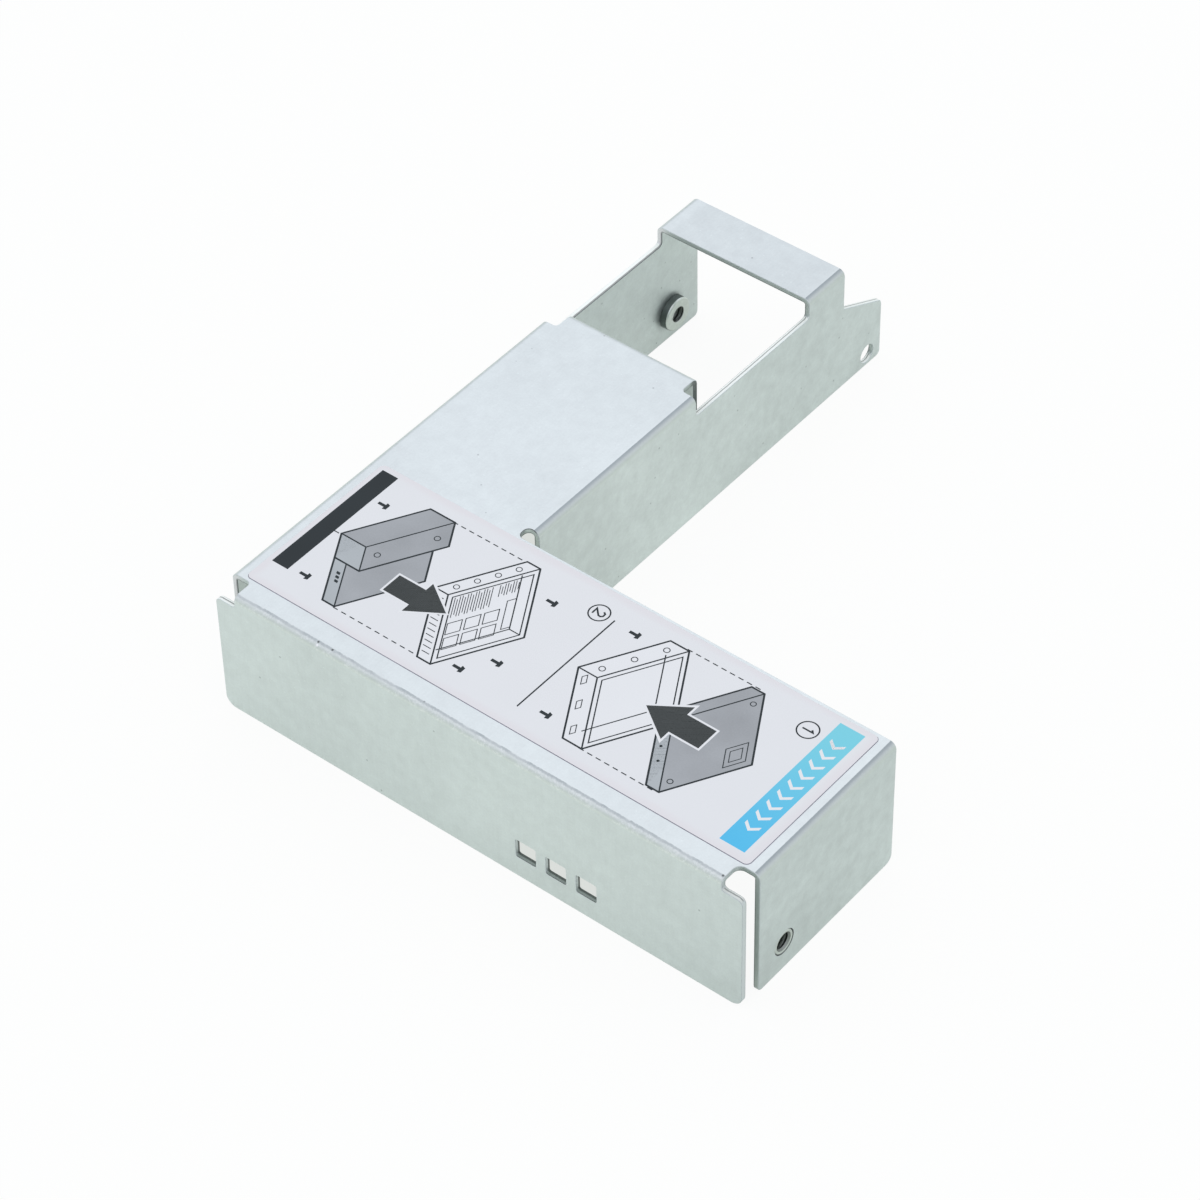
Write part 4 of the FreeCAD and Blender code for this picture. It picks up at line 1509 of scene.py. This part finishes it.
class BAYBRACKET_OT_print(bpy.types.Operator):
    """Print the label: bars, step numbers and plain drawings of a body that goes into a tray"""

    bl_idname = "baybracket.print"
    bl_label = "Label printing"

    def execute(self, context):
        paper = Paper(context)
        Ink.level = 0
        inks = label_inks(paper, context.scene.baybracket_label)
        inks.dark.area(rectangle(1.15, 0.95, 27.1, 4.15))
        self.title_bar(inks)
        inks.dark.line([(4.95, 50.7), (27.95, 50.55)], inks.dark.width)
        circled(inks, 5.3, 87.4, ONE)
        circled(inks, 5.1, 47.8, TWO)
        self.first_step(inks)
        self.second_step(inks)
        dashes = [
            ((3.0, 63.6), (3.0, 76.4)),
            ((28.9, 63.6), (28.9, 76.4)),
            ((3.4, 14.6), (3.4, 32.4)),
            ((29.0, 15.6), (29.0, 32.4)),
            ((16.2, 6.2), (16.2, 3.0)),
        ]
        dashed_lines("print_dashes", paper, dashes, inks.dark.material)
        for body in vars(inks).values():
            body.done()
        return {"FINISHED"}

    def title_bar(self, inks):
        """A bar with a row of pale chevrons."""
        count, first, pitch = 9, 4.6, 2.55
        low, middle, high = 91.3, 92.6, 93.9
        inks.cyan.area(rectangle(1.2, 90.3, 30.35, 94.85))
        for n in range(count):
            p = first + n * pitch
            head = [(p + 0.65, low), (p + 1.7, middle), (p + 0.65, high)]
            inks.pale.area([(p, low), *head, (p, high), (p + 1.05, middle)])

    def first_step(self, inks):
        """A slab that goes down into an open tray."""
        tray = Box(16.0, 52.6)
        drawn_tray(inks, tray, 14.8, 14.8, 3.6)
        for a in (2.2, 7.4, 12.6):
            drawn_patch(inks, Box(*tray.at(a - 0.8, 0, 1.0)), (0, 0), (1.6, 0.9), 0)
            drawn_hole(inks, tray.at(0, a, 1.9), 0.5, 14)
        slab, thick = Box(16.0, 68.2), 2.4
        drawn_slab(inks, slab, 14.6, 14.6, thick)
        drawn_patch(inks, slab, (9.6, 9.8), (13.4, 13.4), thick, MARK_LINE)
        drawn_patch(inks, slab, (10.4, 10.6), (12.6, 12.6), thick, SMALL_PATCH_LINE)
        for a, b in ((1.5, 1.5), (13.0, 1.5), (1.5, 13.0)):
            drawn_hole(inks, slab.at(a, b, thick), 0.45, 14)
        for a in (3.0, 6.0, 9.0):
            inks.dark.area(ring(slab.at(a, 0, thick / 2), 0.26, 8))
        drawn_arrow(inks, 16.0, 77.0, reach=11.5, span=8.2, way=-1)
        drawn_screw(inks, 26.6, 55.2)
        drawn_screw(inks, 5.4, 55.2)

    def second_step(self, inks):
        """A stepped block that goes up into a rack."""
        rack, lift = Box(16.2, 24.6), 1.8
        drawn_tray(inks, rack, 15.0, 15.0, 2.6)
        drawn_ribs(inks, rack, (2.0, 2.2), (6.4, 8.6), lift, pitch=0.44)
        drawn_ribs(inks, rack, (2.0, 9.6), (4.6, 13.0), lift, pitch=0.44)
        for n in range(3):
            low, high = 2.0 + n * 3.0, 4.4 + n * 3.0
            drawn_patch(inks, rack, (7.6, low), (10.0, high), lift)
            drawn_patch(inks, rack, (10.8, low), (13.2, high), lift)
        drawn_patch(inks, rack, (6.2, 11.4), (12.4, 12.9), lift)
        for n in range(11):
            a = 1.3 + n * 1.2
            inks.dark.line([rack.at(a, 0, 0.5), rack.at(a, 0, 2.0)], MARK_LINE)
        for n in range(4):
            drawn_hole(inks, rack.at(0, 2.4 + n * 3.4, 1.3), 0.48, 12, PATCH_LINE)
        block, step, top = Box(16.0, 5.4), 2.4, 5.0
        drawn_slab(inks, block, 14.8, 14.6, step)
        drawn_slab(inks, block, 5.4, 14.6, top)
        for n in range(3):
            p, q = block.at(8.0 + n * 0.9, 0, 1.4)
            mark = [(p - 0.25, q - 0.4), (p + 0.25, q - 0.2), (p + 0.25, q + 0.5), (p - 0.25, q + 0.3)]
            inks.dark.area(mark)
        for b in (2.4, 12.2):
            drawn_hole(inks, block.at(2.7, b, top), 0.5, 12)
        drawn_arrow(inks, 19.5, 18.6, reach=11.0, span=7.4, way=1)
        for p, q in ((7.2, 6.6), (26.4, 7.4), (27.2, 38.8), (7.8, 41.0), (22.8, 42.6)):
            drawn_screw(inks, p, q)


# The stage

FLOOR_HALF = 4.0
FLOOR_DROP = 0.02
AIM = (50.0, 55.0, 12.0)
AIM_RIGHT = -14.73
AIM_UP = -1.451


class BAYBRACKET_OT_stage(bpy.types.Operator):
    """Floor, lamps, surroundings and camera"""

    bl_idname = "baybracket.stage"
    bl_label = "Stage"

    def execute(self, context):
        scene = context.scene
        scene.view_settings.view_transform = "Standard"
        mesh = bpy.data.meshes.new("floor")
        corners = rectangle(-FLOOR_HALF, -FLOOR_HALF, FLOOR_HALF, FLOOR_HALF)
        mesh.from_pydata([(x, y, -FLOOR_DROP * MM) for x, y in corners], [], [(0, 1, 2, 3)])
        mesh.materials.append(floor_material())
        floor = scene_object("floor", mesh)
        set_surroundings(scene)
        place = (-0.25, 0.45, 0.85)
        add_lamp("soft_lamp", place, size=0.9, power=0.6, tint=(0.93, 0.97, 1.0))
        add_camera(scene, scene.baybracket_stage)
        return {"FINISHED"}


def floor_material():
    """Pale floor. The camera sees it nearly white, with a faint shadow that is painted deeper where it
    shows through the windows and through the slot. In reflections it is painted a little darker to the
    right, at the back and close to the front wall."""
    finish = Finish("pale_floor")
    direct = finish.seen_directly()
    # Painted shade in reflections: darker to the right, at the back and close to the front wall
    dim = finish.ramp(finish.along("X"), 20, 75) + finish.ramp(finish.along("Y"), 0, 80) * 0.5
    dim = dim + finish.band("Y", -24, 0, 0, 8) * 0.2
    reflected = finish.mix(dim, (0.97, 1.02, 0.99), (0.66, 0.71, 0.69))
    # Painted shadow where the floor shows through the windows and the slot
    windows = finish.band("Y", 0.5, 3, 8, 13) * finish.band("X", 30, 50, 76, 86)
    slot = finish.band("Y", 54, 56, 60, 62) * finish.band("X", 8, 10, 17, 19)
    viewed = finish.mix(windows.maximum(slot), (1.0, 1.0, 1.0), (0.745, 0.77, 0.745))
    seen = finish.mix(direct, reflected, viewed)
    matt = finish.add("ShaderNodeBsdfDiffuse", {}, {"Color": (0.868, 0.917, 0.825, 1)})
    glow = finish.add("ShaderNodeEmission", {}, {"Color": seen, "Strength": 1.0})
    share = direct * 0.92 + finish.ray("Glossy") * 0.6
    both = finish.add("ShaderNodeMixShader", {}, {0: share, 1: matt, 2: glow})
    finish.add("ShaderNodeOutputMaterial", {}, {"Surface": both})
    return finish.material


def set_surroundings(scene):
    """Soft room light, brighter overhead than at eye level. The camera sees white, and so do
    reflections in part."""
    room = Finish("soft_room", "worlds")
    way = room.add("ShaderNodeTexCoord", output="Generated")
    height = room.add("ShaderNodeSeparateXYZ", {}, {0: way}, output="Z")
    stops = [
        (0.0, (0.52, 0.57, 0.56, 1)),
        (0.2, (0.58, 0.63, 0.63, 1)),
        (0.62, (0.93, 0.95, 1.09, 1)),
        (0.82, (1.05, 1.04, 1.14, 1)),
        (1.0, (1.05, 1.04, 1.12, 1)),
    ]
    tone = room.add("ShaderNodeValToRGB", {"stops": stops}, {"Fac": height})
    lit = room.add("ShaderNodeBackground", {}, {"Color": tone})
    white = room.add("ShaderNodeBackground", {}, {"Color": (1, 1, 1, 1)})
    share = room.seen_directly() + room.ray("Glossy") * 0.12
    both = room.add("ShaderNodeMixShader", {}, {0: share, 1: lit, 2: white})
    room.add("ShaderNodeOutputWorld", {}, {"Surface": both})
    scene.world = room.material


def add_lamp(name, place, size, power, tint):
    """A round soft lamp that points at the bracket."""
    data = bpy.data.lights.new(name, "AREA")
    data.shape = "DISK"
    data.size = size
    data.energy = power
    data.color = tint
    lamp = scene_object(name, data)
    lamp.location = place
    lamp.rotation_mode = "QUATERNION"
    lamp.rotation_quaternion = (Vector((0, 0, 0.01)) - Vector(place)).to_track_quat("-Z", "Y")


def add_camera(scene, sizes):
    """The camera of the photograph, found from the bracket's known sizes."""
    az, el, roll = sizes.azimuth, sizes.elevation, sizes.roll
    back = Vector((math.sin(az) * math.cos(el), -math.cos(az) * math.cos(el), math.sin(el)))
    level = Vector((math.cos(az), math.sin(az), 0))
    rise = back.cross(level)
    right = level * math.cos(roll) + rise * math.sin(roll)
    up = rise * math.cos(roll) - level * math.sin(roll)
    data = bpy.data.cameras.new("camera")
    data.sensor_width = 36
    data.lens = sizes.lens
    data.clip_start = 0.01
    data.clip_end = 20
    camera = scene_object("camera", data)
    place = world(*AIM) + (right * AIM_RIGHT + up * AIM_UP) * MM + back * sizes.distance
    camera.matrix_world = Matrix.Translation(place) @ Matrix((right, up, back)).transposed().to_4x4()
    scene.camera = camera


class BAYBRACKET_PT_panel(bpy.types.Panel):
    """Sizes, colours and steps of the bracket"""

    bl_idname = "BAYBRACKET_PT_panel"
    bl_label = "Bay bracket"
    bl_space_type = "VIEW_3D"
    bl_region_type = "UI"
    bl_category = "Bay bracket"

    def draw(self, context):
        for operator, name, group in STEPS:
            box = self.layout.box()
            box.operator(operator.bl_idname)
            for prop in group.__annotations__ if group else ():
                box.prop(getattr(context.scene, name), prop)


STEPS = (
    (BAYBRACKET_OT_stage, "baybracket_stage", StageSizes),
    (BAYBRACKET_OT_sheet, "baybracket_sheet", SheetSizes),
    (BAYBRACKET_OT_nuts, "baybracket_nuts", NutSizes),
    (BAYBRACKET_OT_label, "baybracket_label", LabelSizes),
    (BAYBRACKET_OT_print, "", None),
)


def register():
    for operator, name, group in STEPS:
        bpy.utils.register_class(operator)
        if group:
            bpy.utils.register_class(group)
            setattr(bpy.types.Scene, name, bpy.props.PointerProperty(type=group))
    bpy.utils.register_class(BAYBRACKET_PT_panel)


def unregister():
    bpy.utils.unregister_class(BAYBRACKET_PT_panel)
    for operator, name, group in reversed(STEPS):
        if group:
            delattr(bpy.types.Scene, name)
            bpy.utils.unregister_class(group)
        bpy.utils.unregister_class(operator)


def main():
    register()
    bpy.ops.baybracket.stage()
    bpy.ops.baybracket.sheet()
    bpy.ops.baybracket.nuts()
    bpy.ops.baybracket.label()
    bpy.ops.baybracket.print()


if __name__ == "__main__":
    main()
